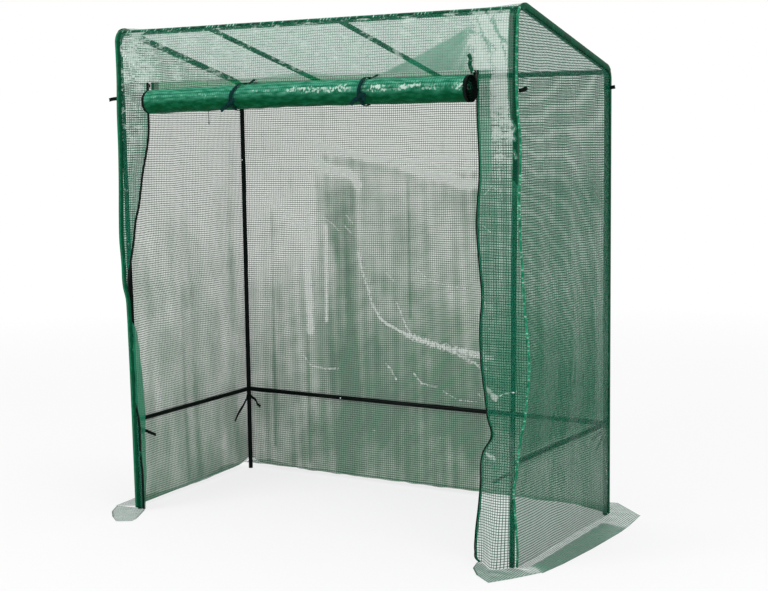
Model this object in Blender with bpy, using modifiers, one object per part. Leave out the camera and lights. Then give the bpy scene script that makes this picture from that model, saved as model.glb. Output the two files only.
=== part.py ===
"""Tomato greenhouse: a free-standing lean-to of plug-in steel tube under a cover of reinforced film.

The origin is on the ground under the middle of the object, +X runs to the right of someone who
stands before the door, and +Y runs from the door to the low rear wall. Everything is in metres.
"""

import math

import bmesh
import bpy
from mathutils import Matrix, Vector

# Driving dimensions of the frame, between the axes of its tubes. The two heights are where the lines
# of the posts and of the gable bars would meet without the elbows.
FRAME_WIDTH = 1.484
FRAME_DEPTH = 0.684
FRONT_HEIGHT = 1.664
REAR_HEIGHT = 1.493
BEND_RADIUS = 0.038
RING_HEIGHT = 0.315
FOOT_DRAW_IN = 0.020  # the cover pulls each front foot inwards, because no bar joins them

# The tube, and how its lengths plug together
TUBE_RADIUS = 0.008
BORE_RADIUS = 0.0072
NECK_RADIUS = 0.0067
NECK_LENGTH = 0.040
NECK_ROOT = 0.010
TUBE_SIDES = 16
CORNER_RADIUS = 0.0086
CORNER_ARM = 0.030
LOWER_JOINT = 0.360
UPPER_JOINT = 1.207
ROOF_BARS = (-0.372, 0.132)
REAR_RING_JOINT = 0.311
GAP = 0.0003  # left between pieces that touch

# The cover, whose film is drawn thicker than the 0.2 mm of the real one
FILM = 0.0010
FILM_OFF_TUBE = 0.011  # from a tube's axis to the middle of the film
SEAM_GAP = 0.0010  # between two panels that are sewn together
DOOR_SEAM_HEIGHT = 1.478
WALL_FOOT = 0.0040
FOLD_DEPTH = 0.014
ROOF_SAG = 0.012
ROOF_EASE = 0.16  # the roof film comes down from the gable bars to the roof bars over this width

# The strip of film round the foot, which lies on the ground and is loaded with soil
SKIRT_THICKNESS = 0.0025
SKIRT_REACH_X = 0.857
SKIRT_REACH_Y = 0.505

# The rolled-up door, its ties and its zips
DOOR_LEFT = -0.594
DOOR_RIGHT = 0.617
ROLL_LEFT = -0.574  # the door is wound a little to the right
ROLL_RIGHT = 0.629
ROLL_RADIUS = 0.042
ROLL_FRONT = -0.402
ROLL_HEIGHT = 1.418
ROLL_TURNS = 4
ROLL_LAYER = 0.0012
ROLL_PITCH = 0.0042
DOOR_TIES = (-0.207, 0.271)
TAPE_WIDTH = 0.012
TAPE = 0.0012
SLIDER_PLACES = (-0.608, 0.623)
SLIDER_WIDTH = 0.007
SLIDER_DEPTH = 0.0045
SLIDER_LENGTH = 0.011

HALF_WIDTH = FRAME_WIDTH / 2
HALF_DEPTH = FRAME_DEPTH / 2
SIDE_FILM = HALF_WIDTH + FILM_OFF_TUBE
END_FILM = HALF_DEPTH + FILM_OFF_TUBE
ROOF_TILT = math.atan2(FRONT_HEIGHT - REAR_HEIGHT, FRAME_DEPTH)
FRONT_TURN = math.pi / 2 + ROOF_TILT
REAR_TURN = math.pi / 2 - ROOF_TILT
# The middle of each elbow's arc, as y and z. The straight part of the post ends at the same height.
FRONT_BEND = (BEND_RADIUS - HALF_DEPTH, FRONT_HEIGHT - BEND_RADIUS * math.tan(FRONT_TURN / 2))
REAR_BEND = (HALF_DEPTH - BEND_RADIUS, REAR_HEIGHT - BEND_RADIUS * math.tan(REAR_TURN / 2))
LEFT, RIGHT = -1, 1

# The free edge of each front flap, as heights and the edge's place across the front
LEFT_EDGE = (
    (0.0, -0.688),
    (0.28, -0.697),
    (0.40, -0.718),
    (0.85, -0.716),
    (1.05, -0.680),
    (1.27, -0.624),
    (1.478, -0.610),
)
RIGHT_EDGE = (
    (0.0, 0.602),
    (0.15, 0.611),
    (0.30, 0.628),
    (0.41, 0.657),
    (0.60, 0.629),
    (0.90, 0.622),
    (1.478, 0.619),
)
FLAP_EDGES = {LEFT: LEFT_EDGE, RIGHT: RIGHT_EDGE}
ZIP_TAPE = 0.009
FLARE_HEIGHT = 0.36  # the right flap swings forward below this height
FLARE_DEPTH = 0.047

# The film bellies out at the right front corner, most at one height
BELLY = 0.050
BELLY_FOOT, BELLY_HEIGHT, BELLY_TOP = 0.25, 0.60, 1.35


def clear_scene():
    for thing in list(bpy.data.objects):
        bpy.data.objects.remove(thing)


def new_collection(name):
    collection = bpy.data.collections.new(name)
    bpy.context.scene.collection.children.link(collection)
    return collection


def make_material(name, color, roughness, metallic=0.0, alpha=1.0):
    material = bpy.data.materials.new(name)
    material.use_nodes = True
    shader = material.node_tree.nodes["Principled BSDF"]
    shader.inputs["Base Color"].default_value = (*color, 1.0)
    shader.inputs["Roughness"].default_value = roughness
    shader.inputs["Metallic"].default_value = metallic
    shader.inputs["Alpha"].default_value = alpha
    return material


clear_scene()
GREENHOUSE = new_collection("tomato_greenhouse")
JOINED = new_collection("joined_shapes")
JOINED.hide_render = True

TUBE_COAT = make_material("black_tube_coat", (0.012, 0.014, 0.013), 0.42)
FILM_GREEN = make_material("green_film", (0.42, 0.62, 0.50), 0.22, alpha=0.45)
ROLL_GREEN = make_material("rolled_film", (0.05, 0.33, 0.19), 0.25)
TAPE_BLACK = make_material("black_tape", (0.010, 0.016, 0.014), 0.75)
BUTTON_STEEL = make_material("bright_steel", (0.70, 0.71, 0.72), 0.25, metallic=1.0)


def place(name, mesh, material, collection=None):
    """An object for a mesh, in the greenhouse's own collection unless another is named."""
    thing = bpy.data.objects.new(name, mesh)
    (collection or GREENHOUSE).objects.link(thing)
    mesh.materials.append(material)
    return thing


def mesh_from(name, bm):
    mesh = bpy.data.meshes.new(name)
    bm.to_mesh(mesh)
    bm.free()
    return mesh


def smooth_round(mesh):
    mesh.shade_smooth()
    mesh.set_sharp_from_angle(angle=math.radians(40))


def aim(start, end):
    """The rotation that turns +Z from start towards end."""
    return (Vector(end) - Vector(start)).to_track_quat("Z", "Y")


def through(points, value):
    """A smooth curve through (value, result) points, read at one value."""
    points = sorted(points)
    last = len(points) - 2
    index = max(0, min(last, sum(1 for p in points[1:-1] if value >= p[0])))
    (a, low), (b, high) = points[index], points[index + 1]
    before = points[index - 1] if index else points[index]
    after = points[index + 2] if index < last else points[index + 1]
    slope_low = (high - before[1]) / (b - before[0])
    slope_high = (after[1] - low) / (after[0] - a)
    t = min(1.0, max(0.0, (value - a) / (b - a)))
    bend_low = (t**3 - 2 * t**2 + t) * (b - a) * slope_low
    bend_high = (t**3 - t**2) * (b - a) * slope_high
    rise = 3 * t**2 - 2 * t**3
    return low + (high - low) * rise + bend_low + bend_high


# The frame

def hollow_tube(name, start, end):
    """A cut length of tube: a turned wall that is open at both ends."""
    start, end = Vector(start), Vector(end)
    length = (end - start).length
    bm = bmesh.new()
    corners = ((TUBE_RADIUS, length), (TUBE_RADIUS, 0), (BORE_RADIUS, 0), (BORE_RADIUS, length))
    verts = [bm.verts.new((radius, 0, along)) for radius, along in corners]
    for i, vert in enumerate(verts):
        bm.edges.new((vert, verts[(i + 1) % len(verts)]))
    tube = place(name, mesh_from(name, bm), TUBE_COAT)
    turn = tube.modifiers.new("turn", "SCREW")
    turn.steps = turn.render_steps = TUBE_SIDES
    turn.use_smooth_shade = True
    tube.location = start
    tube.rotation_mode = "QUATERNION"
    tube.rotation_quaternion = aim(start, end)
    return tube


def rod_mesh(name, start, end, radius):
    """A solid round rod from start to end, with its place in its mesh."""
    start, end = Vector(start), Vector(end)
    bm = bmesh.new()
    bmesh.ops.create_cone(
        bm, cap_ends=True, segments=TUBE_SIDES, radius1=radius, radius2=radius, depth=(end - start).length
    )
    turn = aim(start, end).to_matrix().to_4x4()
    bmesh.ops.transform(bm, matrix=Matrix.Translation((start + end) / 2) @ turn, verts=bm.verts)
    return mesh_from(name, bm)


def bent_rod_mesh(name, path, radius):
    """A solid round rod along a path that bends in an upright plane."""
    bm = bmesh.new()
    rings = []
    for before, point, after in zip([path[0], *path], path, [*path[1:], path[-1]]):
        along = ((point - before).normalized() + (after - point).normalized()).normalized()
        side = (Vector((1, 0, 0)) - along * along.x).normalized()
        up = along.cross(side)
        turns = [2 * math.pi * i / TUBE_SIDES for i in range(TUBE_SIDES)]
        rings.append([bm.verts.new(point + (side * math.cos(a) + up * math.sin(a)) * radius) for a in turns])
    for low, high in zip(rings, rings[1:]):
        for i in range(TUBE_SIDES):
            j = (i + 1) % TUBE_SIDES
            bm.faces.new((low[i], low[j], high[j], high[i]))
    bm.faces.new(rings[0])
    bm.faces.new(rings[-1])
    bmesh.ops.recalc_face_normals(bm, faces=bm.faces)
    return mesh_from(name, bm)


def ball_mesh(name, centre, radius):
    bm = bmesh.new()
    bmesh.ops.create_uvsphere(bm, u_segments=TUBE_SIDES, v_segments=8, radius=radius)
    bmesh.ops.translate(bm, vec=centre, verts=bm.verts)
    return mesh_from(name, bm)


def join(thing, mesh, label):
    """Joins another closed mesh to an object."""
    other = place(f"{thing.name}_{label}", mesh, thing.data.materials[0], JOINED)
    other.hide_render = True
    other.display_type = "WIRE"
    union = thing.modifiers.new(label, "BOOLEAN")
    union.operation = "UNION"
    union.solver = "EXACT"
    union.object = other


def join_neck(thing, end, other, label, root=0.0):
    """The drawn-down plug of a fitting, towards other. Its root lies inside the fitting."""
    start = toward(end, other, -root)
    join(thing, rod_mesh(label, start, toward(end, other, NECK_LENGTH), NECK_RADIUS), label)


def post_axis(side, front, height):
    """A point on a post's axis. The front posts lean in towards their feet."""
    lean = FOOT_DRAW_IN * max(0.0, 1 - height / FRONT_BEND[1]) if front else 0.0
    return Vector((side * (HALF_WIDTH - lean), -HALF_DEPTH if front else HALF_DEPTH, height))


def bend_point(front, turned, radius):
    """A point (y, z) round an elbow, from 0 where the post ends to 1 where the gable bar's line begins."""
    (y, z), angle = (FRONT_BEND, math.pi - turned * FRONT_TURN) if front else (REAR_BEND, turned * REAR_TURN)
    return y + radius * math.cos(angle), z + radius * math.sin(angle)


def gable_end(side, front):
    """Where the straight part of a gable's line meets an elbow."""
    return Vector((side * HALF_WIDTH, *bend_point(front, 1.0, BEND_RADIUS)))


def beam_axis(x, front):
    """A point on a top beam's axis. The beams leave the elbows at the middle of the bend."""
    return Vector((x, *bend_point(front, 0.5, BEND_RADIUS)))


def toward(start, end, distance):
    """The point at a distance from start on the way to end."""
    start, end = Vector(start), Vector(end)
    return start + (end - start).normalized() * distance


def bar_end(start, end):
    """Where a bar that butts against the tube at start begins."""
    return toward(start, end, TUBE_RADIUS + GAP)


SIDE_NAMES = {LEFT: "left", RIGHT: "right"}


def build_lower_post(name, side, front):
    """The lowest length of a post. It stands on the ground and carries the necks of the ring."""
    foot = post_axis(side, front, 0.0)
    end = post_axis(side, front, LOWER_JOINT)
    post = place(name, rod_mesh("lower_post", foot, end, TUBE_RADIUS), TUBE_COAT)
    for vert in post.data.vertices:
        if vert.co.z < 0.001:
            vert.co.z = 0.0
    join_neck(post, end, post_axis(side, front, UPPER_JOINT), "up", NECK_ROOT)
    ring = post_axis(side, front, RING_HEIGHT)
    join_neck(post, ring, post_axis(side, not front, RING_HEIGHT), "side")
    if not front:
        join_neck(post, ring, post_axis(-side, front, RING_HEIGHT), "rear")
    smooth_round(post.data)


def build_top_corner(name, side, front):
    """The top length of a post. It bends into the gable, and an arm for the beam leaves its bend."""
    end = post_axis(side, front, UPPER_JOINT)
    steps = 8
    turns = [i / steps for i in range(steps + 1)]
    bend = [Vector((side * HALF_WIDTH, *bend_point(front, turned, BEND_RADIUS))) for turned in turns]
    gable = gable_end(side, not front)
    gable_arm = toward(bend[-1], gable, CORNER_ARM)
    top = place(name, bent_rod_mesh("top_corner", [end, *bend, gable_arm], TUBE_RADIUS), TUBE_COAT)
    join_neck(top, end, post_axis(side, front, 0.0), "down", NECK_ROOT)
    join_neck(top, gable_arm, gable, "gable", NECK_ROOT)
    corner = beam_axis(side * HALF_WIDTH, front)
    across = beam_axis(-side * HALF_WIDTH, front)
    beam_arm = toward(corner, across, CORNER_ARM)
    join(top, ball_mesh("bead", corner, CORNER_RADIUS), "bead")
    join(top, rod_mesh("arm", corner, beam_arm, TUBE_RADIUS), "beam_arm")
    join_neck(top, beam_arm, across, "beam", NECK_ROOT)
    smooth_round(top.data)


def build_posts():
    for front in (True, False):
        for side in (LEFT, RIGHT):
            where = f"{'front' if front else 'rear'}_{SIDE_NAMES[side]}"
            build_lower_post(f"lower_post_{where}", side, front)
            lower_end = post_axis(side, front, LOWER_JOINT)
            upper_end = post_axis(side, front, UPPER_JOINT)
            hollow_tube(
                f"main_post_{where}", toward(lower_end, upper_end, GAP), toward(upper_end, lower_end, GAP)
            )
            build_top_corner(f"top_corner_{where}", side, front)


def build_beams():
    """The top beams come in three lengths. The middle one carries the roof bars on two side necks."""
    for front in (True, False):
        row = "front" if front else "rear"
        ends = [beam_axis(x, front) for x in (ROOF_BARS[0] - CORNER_ARM, ROOF_BARS[1] + CORNER_ARM)]
        middle = place(f"{row}_beam_middle", rod_mesh("beam", ends[0], ends[1], TUBE_RADIUS), TUBE_COAT)
        for side, end in ((LEFT, ends[0]), (RIGHT, ends[1])):
            corner = beam_axis(side * HALF_WIDTH, front)
            join_neck(middle, end, corner, f"end_{side}", NECK_ROOT)
            hollow_tube(
                f"{row}_beam_{SIDE_NAMES[side]}",
                toward(corner, end, CORNER_ARM + GAP),
                toward(end, corner, GAP),
            )
        for number, x in enumerate(ROOF_BARS, 1):
            join_neck(middle, beam_axis(x, front), beam_axis(x, not front), f"roof_{number}")
        smooth_round(middle.data)
    for side in (LEFT, RIGHT):
        front_end, rear_end = gable_end(side, True), gable_end(side, False)
        hollow_tube(
            f"gable_bar_{SIDE_NAMES[side]}",
            toward(front_end, rear_end, CORNER_ARM + GAP),
            toward(rear_end, front_end, CORNER_ARM + GAP),
        )
    for number, x in enumerate(ROOF_BARS, 1):
        front_end, rear_end = beam_axis(x, True), beam_axis(x, False)
        hollow_tube(f"roof_bar_{number}", bar_end(front_end, rear_end), bar_end(rear_end, front_end))


def build_ring():
    """The low ring round the left, rear and right. The door side has no bar."""
    for side in (LEFT, RIGHT):
        front_post = post_axis(side, True, RING_HEIGHT)
        rear_post = post_axis(side, False, RING_HEIGHT)
        hollow_tube(
            f"ring_bar_{SIDE_NAMES[side]}", bar_end(front_post, rear_post), bar_end(rear_post, front_post)
        )
    ends = [Vector((side * REAR_RING_JOINT, HALF_DEPTH, RING_HEIGHT)) for side in (LEFT, RIGHT)]
    middle = place("ring_bar_rear_middle", rod_mesh("ring", ends[0], ends[1], TUBE_RADIUS), TUBE_COAT)
    for side, end in ((LEFT, ends[0]), (RIGHT, ends[1])):
        post = post_axis(side, False, RING_HEIGHT)
        join_neck(middle, end, post, f"end_{side}", NECK_ROOT)
        hollow_tube(f"ring_bar_rear_{SIDE_NAMES[side]}", bar_end(post, end), toward(end, post, GAP))
    smooth_round(middle.data)


def build_snap_buttons():
    """The bright sprung buttons that lock two of the plug joints, on the side that faces the door."""
    places = {
        "snap_button_post": post_axis(LEFT, False, UPPER_JOINT - 0.004),
        "snap_button_ring": Vector((-REAR_RING_JOINT - 0.002, HALF_DEPTH, RING_HEIGHT)),
    }
    for name, centre in places.items():
        inner = centre + Vector((0, -TUBE_RADIUS - GAP, 0))
        outer = inner + Vector((0, -0.0016, 0))
        button = place(name, rod_mesh(name, inner, outer, 0.0030), BUTTON_STEEL)
        rounding = button.modifiers.new("rounding", "BEVEL")
        rounding.width = 0.0007
        rounding.segments = 2


# The cover

def film_panel(name, shape, across, up, material=FILM_GREEN, thickness=FILM):
    """A panel of film: a grid laid out by shape(u, v), which gives the middle of the film, and thickened."""
    bm = bmesh.new()
    bmesh.ops.create_grid(bm, x_segments=across, y_segments=up, size=0.5)
    for vert in bm.verts:
        vert.co = shape(vert.co.x + 0.5, vert.co.y + 0.5)
    mesh = mesh_from(name, bm)
    mesh.shade_smooth()
    panel = place(name, mesh, material)
    wall = panel.modifiers.new("thickness", "SOLIDIFY")
    wall.thickness = thickness
    wall.offset = 0.0
    return panel


def blend(low, high, t):
    return low + (high - low) * t


def film_round(front, turned, inset=0.0):
    """A point (y, z) of the film's middle where it passes round an elbow."""
    return bend_point(front, turned, BEND_RADIUS + FILM_OFF_TUBE - inset)


def gable_outline(start, end, inset=0.0):
    """The film's line over the gable, as (y, z) points. It starts and ends part way round the elbows."""
    front = [film_round(True, blend(start, 1.0, i / 4), inset) for i in range(5)]
    rear = [film_round(False, blend(1.0, end, i / 4), inset) for i in range(5)]
    between = [Vector(front[-1]).lerp(Vector(rear[0]), i / 5).to_tuple() for i in range(1, 5)]
    return front + between + rear


# The seams lie over the beams, half-way round the elbows
SEAM_TURN = 0.5 + SEAM_GAP / 2 / ((BEND_RADIUS + FILM_OFF_TUBE) * FRONT_TURN)
ROOF_OUTLINE = gable_outline(SEAM_TURN, SEAM_TURN)
WALL_OUTLINE = gable_outline(0.0, 0.0, FILM + GAP)


def belly(side, height):
    """How far the front corner's seam stands off its post."""
    if side == LEFT or not BELLY_FOOT < height < BELLY_TOP:
        return 0.0
    end = BELLY_FOOT if height < BELLY_HEIGHT else BELLY_TOP
    return BELLY * math.sin(math.pi / 2 * (height - end) / (BELLY_HEIGHT - end)) ** 2


def corner_film(side, height):
    """Where a side wall's film stands at its front edge."""
    return abs(post_axis(side, True, height).x) + FILM_OFF_TUBE + belly(side, height)


def drape(u, v, folds, phase):
    """The soft upright folds of a hanging panel: outwards only, and nothing along its edges."""
    wave = 0.5 - 0.5 * math.cos(2 * math.pi * folds * u + phase * math.sin(math.pi * v))
    return FOLD_DEPTH * wave * math.sin(math.pi * u) * math.sin(math.pi * v) ** 0.6


def roof_shape(u, v):
    """The roof comes down from the gables to the roof bars, and sags a little in each of its three bays."""
    x = blend(-SIDE_FILM - 0.0015, SIDE_FILM + 0.0015, u)
    y, height = ROOF_OUTLINE[round(v * (len(ROOF_OUTLINE) - 1))]
    front, rear = beam_axis(0, True), beam_axis(0, False)
    bar_top = FILM_OFF_TUBE / math.cos(ROOF_TILT)
    over_bars = blend(front.z, rear.z, (y - front.y) / (rear.y - front.y)) + bar_top
    inwards = min(1.0, max(0.0, (HALF_WIDTH - abs(x)) / ROOF_EASE))
    height = blend(height, min(height, over_bars), inwards**2 * (3 - 2 * inwards))
    supports = (-HALF_WIDTH, *ROOF_BARS, HALF_WIDTH)
    sag = 0.0
    for low, high in zip(supports, supports[1:]):
        if low < x < high:
            sag = ROOF_SAG * math.sin(math.pi * (x - low) / (high - low)) ** 2
    return Vector((x, y, height - sag * max(0.0, math.cos(math.pi * y / FRAME_DEPTH)) ** 2))


def upright_line(front, foot, steps):
    """The film's line up a row of posts, from its foot to the seam over the beam, as (y, z) points."""
    y, top = film_round(front, 0.0)
    line = [(y, blend(foot, top, i / steps)) for i in range(steps)]
    return line + [film_round(front, (1 - SEAM_TURN) * i / 3) for i in range(4)]


HEADER_LINE = upright_line(True, DOOR_SEAM_HEIGHT, 2)
REAR_LINE = upright_line(False, WALL_FOOT, 8)


def header_shape(u, v):
    y, height = HEADER_LINE[round(v * (len(HEADER_LINE) - 1))]
    half = corner_film(RIGHT, height) - FILM / 2 - SEAM_GAP
    return Vector((blend(-half, half, u), y, height))


def rear_wall_shape(u, v):
    half = SIDE_FILM - FILM / 2 - SEAM_GAP
    y, height = REAR_LINE[round(v * (len(REAR_LINE) - 1))]
    hung = min(1.0, (height - WALL_FOOT) / (REAR_BEND[1] - WALL_FOOT))
    return Vector((blend(-half, half, u), y + drape(u, hung, 5, 1.2), height))


def side_wall_shape(side):
    def shape(u, v):
        y, top = WALL_OUTLINE[round(u * (len(WALL_OUTLINE) - 1))]
        height = blend(WALL_FOOT, top, v)
        back = (y + END_FILM) / (2 * END_FILM)
        stand = blend(corner_film(side, height), SIDE_FILM, back) + drape(back, v, 3, 0.8 * side)
        return Vector((side * stand, y, height))

    return shape


def flare(side, x, height):
    """How far the foot of the right flap swings forward. The zip's edge hangs straight."""
    if side == LEFT or height > FLARE_HEIGHT:
        return 0.0
    across = min(1.0, max(0.0, (x - 0.632) / 0.045)) * min(1.0, max(0.0, (0.735 - x) / 0.04))
    return FLARE_DEPTH * across * ((FLARE_HEIGHT - height) / FLARE_HEIGHT) ** 1.5


def flap_shape(side, outer_edge, inner_edge):
    """A strip of a front flap between two upright lines, each given as x at a height."""

    def shape(u, v):
        height = blend(WALL_FOOT, DOOR_SEAM_HEIGHT - SEAM_GAP, v)
        x = blend(outer_edge(height), inner_edge(height), u)
        return Vector((x, -END_FILM - flare(side, x, height), height))

    return shape


def build_front_flaps():
    """A flap hangs from the header on each side of the door. Its free edge carries half of a zip."""
    for side in (LEFT, RIGHT):

        def corner(height, side=side):
            return side * (corner_film(side, height) - FILM / 2 - 1.5 * SEAM_GAP)

        def edge(height, side=side):
            return through(FLAP_EDGES[side], height)

        def tape_outer(height, side=side):
            return edge(height, side) + side * ZIP_TAPE

        def tape_seam(height, side=side):
            return tape_outer(height, side) + side * SEAM_GAP

        flap = flap_shape(side, corner, tape_seam)
        tape = flap_shape(side, edge, tape_outer)
        where = SIDE_NAMES[side]
        film_panel(f"cover_{where}_flap", flap, 8, 20)
        film_panel(f"zip_tape_{where}", tape, 2, 20, TAPE_BLACK)


def build_cover():
    film_panel("cover_roof", roof_shape, 20, len(ROOF_OUTLINE) - 1)
    film_panel("cover_header", header_shape, 10, len(HEADER_LINE) - 1)
    film_panel("cover_rear_wall", rear_wall_shape, 28, len(REAR_LINE) - 1)
    film_panel("cover_left_wall", side_wall_shape(LEFT), len(WALL_OUTLINE) - 1, 12)
    film_panel("cover_right_wall", side_wall_shape(RIGHT), len(WALL_OUTLINE) - 1, 24)
    build_front_flaps()


def flat_sheet(name, outline, thickness, material):
    """A flat piece cut to an outline, lying on the ground."""
    curve = bpy.data.curves.new(name, "CURVE")
    curve.dimensions = "2D"
    curve.fill_mode = "BOTH"
    curve.extrude = thickness / 2
    spline = curve.splines.new("POLY")
    spline.points.add(len(outline) - 1)
    for point, (x, y) in zip(spline.points, outline):
        point.co = (x, y, 0, 1)
    spline.use_cyclic_u = True
    sheet = bpy.data.objects.new(name, curve)
    GREENHOUSE.objects.link(sheet)
    curve.materials.append(material)
    sheet.location.z = thickness / 2
    return sheet


def build_skirts():
    """The skirt lies outwards on the ground, as one strip to each wall and one to each front flap."""
    side_edges = {
        LEFT: ((-0.345, 0.822), (-0.22, 0.836), (-0.08, 0.802), (0.11, 0.794), (0.31, SKIRT_REACH_X)),
        RIGHT: ((-0.345, 0.813), (-0.24, 0.829), (-0.10, 0.838), (0.11, 0.846), (0.31, SKIRT_REACH_X)),
    }
    foot = corner_film(RIGHT, 0.0) - 0.002
    wall = SIDE_FILM - 0.002
    for side, outer in side_edges.items():
        outline = [(side * x, y) for y, x in outer]
        outline += [(side * 0.846, 0.370), (side * wall, 0.356), (side * foot, -0.348)]
        flat_sheet(f"skirt_{SIDE_NAMES[side]}", outline, SKIRT_THICKNESS, FILM_GREEN)
    rear = [(0.838, 0.400), (0.724, SKIRT_REACH_Y), (0.450, 0.470), (0.160, 0.462), (-0.100, 0.446)]
    rear += [(-0.400, 0.444), (-0.640, 0.450), (-0.760, 0.500), (-0.838, 0.415), (-wall + 0.003, 0.3585)]
    rear += [(-wall + 0.003, 0.352), (wall - 0.003, 0.352), (wall - 0.003, 0.3585)]
    flat_sheet("skirt_rear", rear, SKIRT_THICKNESS, FILM_GREEN)
    left = [(-0.690, -0.351), (-0.659, -0.428), (-0.648, -0.475), (-0.689, -SKIRT_REACH_Y)]
    left += [(-0.791, -0.409), (-0.815, -0.355), (-foot - 0.001, -0.351)]
    flat_sheet("skirt_front_left", left, SKIRT_THICKNESS, FILM_GREEN)
    right = [(foot + 0.001, -0.351), (0.808, -0.355), (0.785, -0.389), (0.728, -SKIRT_REACH_Y)]
    right += [(0.671, -0.454), (0.634, -0.400), (0.626, -0.351)]
    flat_sheet("skirt_front_right", right, SKIRT_THICKNESS, FILM_GREEN)


# The door, rolled up under its header

def build_door_roll():
    """The door's film in a loose spiral, wound outwards, with a hollow core."""
    steps = 22
    outer, inner = [], []
    for i in range(ROLL_TURNS * steps + 1):
        angle = 2 * math.pi * i / steps
        radius = ROLL_RADIUS - ROLL_PITCH * i / steps
        direction = Vector((math.cos(angle), math.sin(angle)))
        outer.append(direction * radius)
        inner.append(direction * (radius - ROLL_LAYER))
    outline = [(p.x, p.y) for p in outer + inner[::-1]]
    roll = flat_sheet("door_roll", outline, ROLL_RIGHT - ROLL_LEFT, ROLL_GREEN)
    roll.location = ((ROLL_LEFT + ROLL_RIGHT) / 2, ROLL_FRONT, ROLL_HEIGHT)
    # The spiral's own X points to the rear wall and its length lies across the door.
    roll.rotation_euler = Matrix(((0, 0, 1), (1, 0, 0), (0, 1, 0))).to_euler()


def curtain_shape(u, v):
    """The short stretch of the door that hangs from its seam to the back of the roll."""
    height = blend(ROLL_HEIGHT + 0.004, DOOR_SEAM_HEIGHT - SEAM_GAP, v)
    return Vector((blend(DOOR_LEFT + 0.004, DOOR_RIGHT - 0.004, u), -END_FILM - 0.0018, height))


def ring_mesh(name, inner_radius, thickness, width, centre, axis):
    """A flat band bent into a ring."""
    bm = bmesh.new()
    steps = 24
    for radius, turned in ((inner_radius + thickness, False), (inner_radius, True)):
        made = bmesh.ops.create_cone(bm, segments=steps, radius1=radius, radius2=radius, depth=width)
        if turned:
            faces = {face for vert in made["verts"] for face in vert.link_faces}
            bmesh.ops.reverse_faces(bm, faces=list(faces))
    edges = [edge for edge in bm.edges if edge.is_boundary]
    bmesh.ops.bridge_loops(bm, edges=[e for e in edges if e.verts[0].co.z > 0])
    bmesh.ops.bridge_loops(bm, edges=[e for e in edges if e.verts[0].co.z < 0])
    bmesh.ops.recalc_face_normals(bm, faces=bm.faces)
    turn = Vector(axis).to_track_quat("Z", "Y").to_matrix().to_4x4()
    bmesh.ops.transform(bm, matrix=Matrix.Translation(centre) @ turn, verts=bm.verts)
    return mesh_from(name, bm)


def strap_mesh(name, start, end, width, thickness, across):
    """A flat length of tape from start to end, whose width lies along across."""
    start, end = Vector(start), Vector(end)
    along = (end - start).normalized()
    side = (Vector(across) - along * along.dot(Vector(across))).normalized()
    frame = Matrix((side, along, side.cross(along))).transposed().to_4x4()
    bm = bmesh.new()
    bmesh.ops.create_cube(bm, size=1.0)
    size = Matrix.Diagonal((width, (end - start).length, thickness, 1.0))
    bmesh.ops.transform(bm, matrix=Matrix.Translation((start + end) / 2) @ frame @ size, verts=bm.verts)
    return mesh_from(name, bm)


def build_door_ties():
    """Each tie is a tape from the door's seam, round the roll and knotted on its front."""
    for side, x in zip((LEFT, RIGHT), DOOR_TIES):
        centre = Vector((x, ROLL_FRONT, ROLL_HEIGHT))
        inner = ROLL_RADIUS + 0.0008
        loop = ring_mesh("loop", inner, TAPE, TAPE_WIDTH, centre, (1, 0, 0))
        tie = place(f"door_tie_{SIDE_NAMES[side]}", loop, TAPE_BLACK)
        rise = Vector((x, ROLL_FRONT + 0.006, ROLL_HEIGHT + inner + TAPE / 2))
        seam = Vector((x, -END_FILM - 0.0036, DOOR_SEAM_HEIGHT - 0.004))
        join(tie, strap_mesh("strand", rise, seam, TAPE_WIDTH, TAPE, (1, 0, 0)), "strand")
        knot = centre + Vector((0, -inner - 0.002, -0.018))
        bm = bmesh.new()
        bmesh.ops.create_uvsphere(bm, u_segments=12, v_segments=8, radius=0.008)
        bmesh.ops.transform(
            bm, matrix=Matrix.Translation(knot) @ Matrix.Diagonal((1.0, 0.55, 0.9, 1.0)), verts=bm.verts
        )
        join(tie, mesh_from("knot", bm), "knot")
        for label, tip in (("tail_left", (-0.028, -0.004, -0.026)), ("tail_right", (0.024, -0.003, -0.013))):
            join(tie, strap_mesh(label, knot, knot + Vector(tip), 0.009, TAPE, (0, 0, 1)), label)


def build_zip_sliders():
    """The slider of each zip waits at its top, behind the roll's end."""
    for side, x in zip((LEFT, RIGHT), SLIDER_PLACES):
        centre = Vector((x, -END_FILM - FILM / 2 - GAP - SLIDER_DEPTH / 2, DOOR_SEAM_HEIGHT - 0.012))
        bm = bmesh.new()
        bmesh.ops.create_cube(bm, size=1.0)
        bmesh.ops.scale(bm, vec=(SLIDER_WIDTH, SLIDER_DEPTH, SLIDER_LENGTH), verts=bm.verts)
        edges = bm.edges[:]
        bmesh.ops.bevel(bm, geom=edges, offset=0.001, segments=2, affect="EDGES", profile=0.5, material=-1)
        slider = place(f"zip_slider_{SIDE_NAMES[side]}", mesh_from("slider", bm), TAPE_BLACK)
        slider.location = centre
        bm = bmesh.new()
        bmesh.ops.create_cube(bm, size=1.0)
        bmesh.ops.scale(bm, vec=(0.005, 0.0012, 0.024), verts=bm.verts)
        bmesh.ops.translate(bm, vec=(0, -SLIDER_DEPTH / 2, -0.014), verts=bm.verts)
        pull = mesh_from("pull", bm)
        join(slider, pull, "pull")
        slider.modifiers["pull"].object.location = centre


# Ties, tabs and the loose string of the cover

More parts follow.
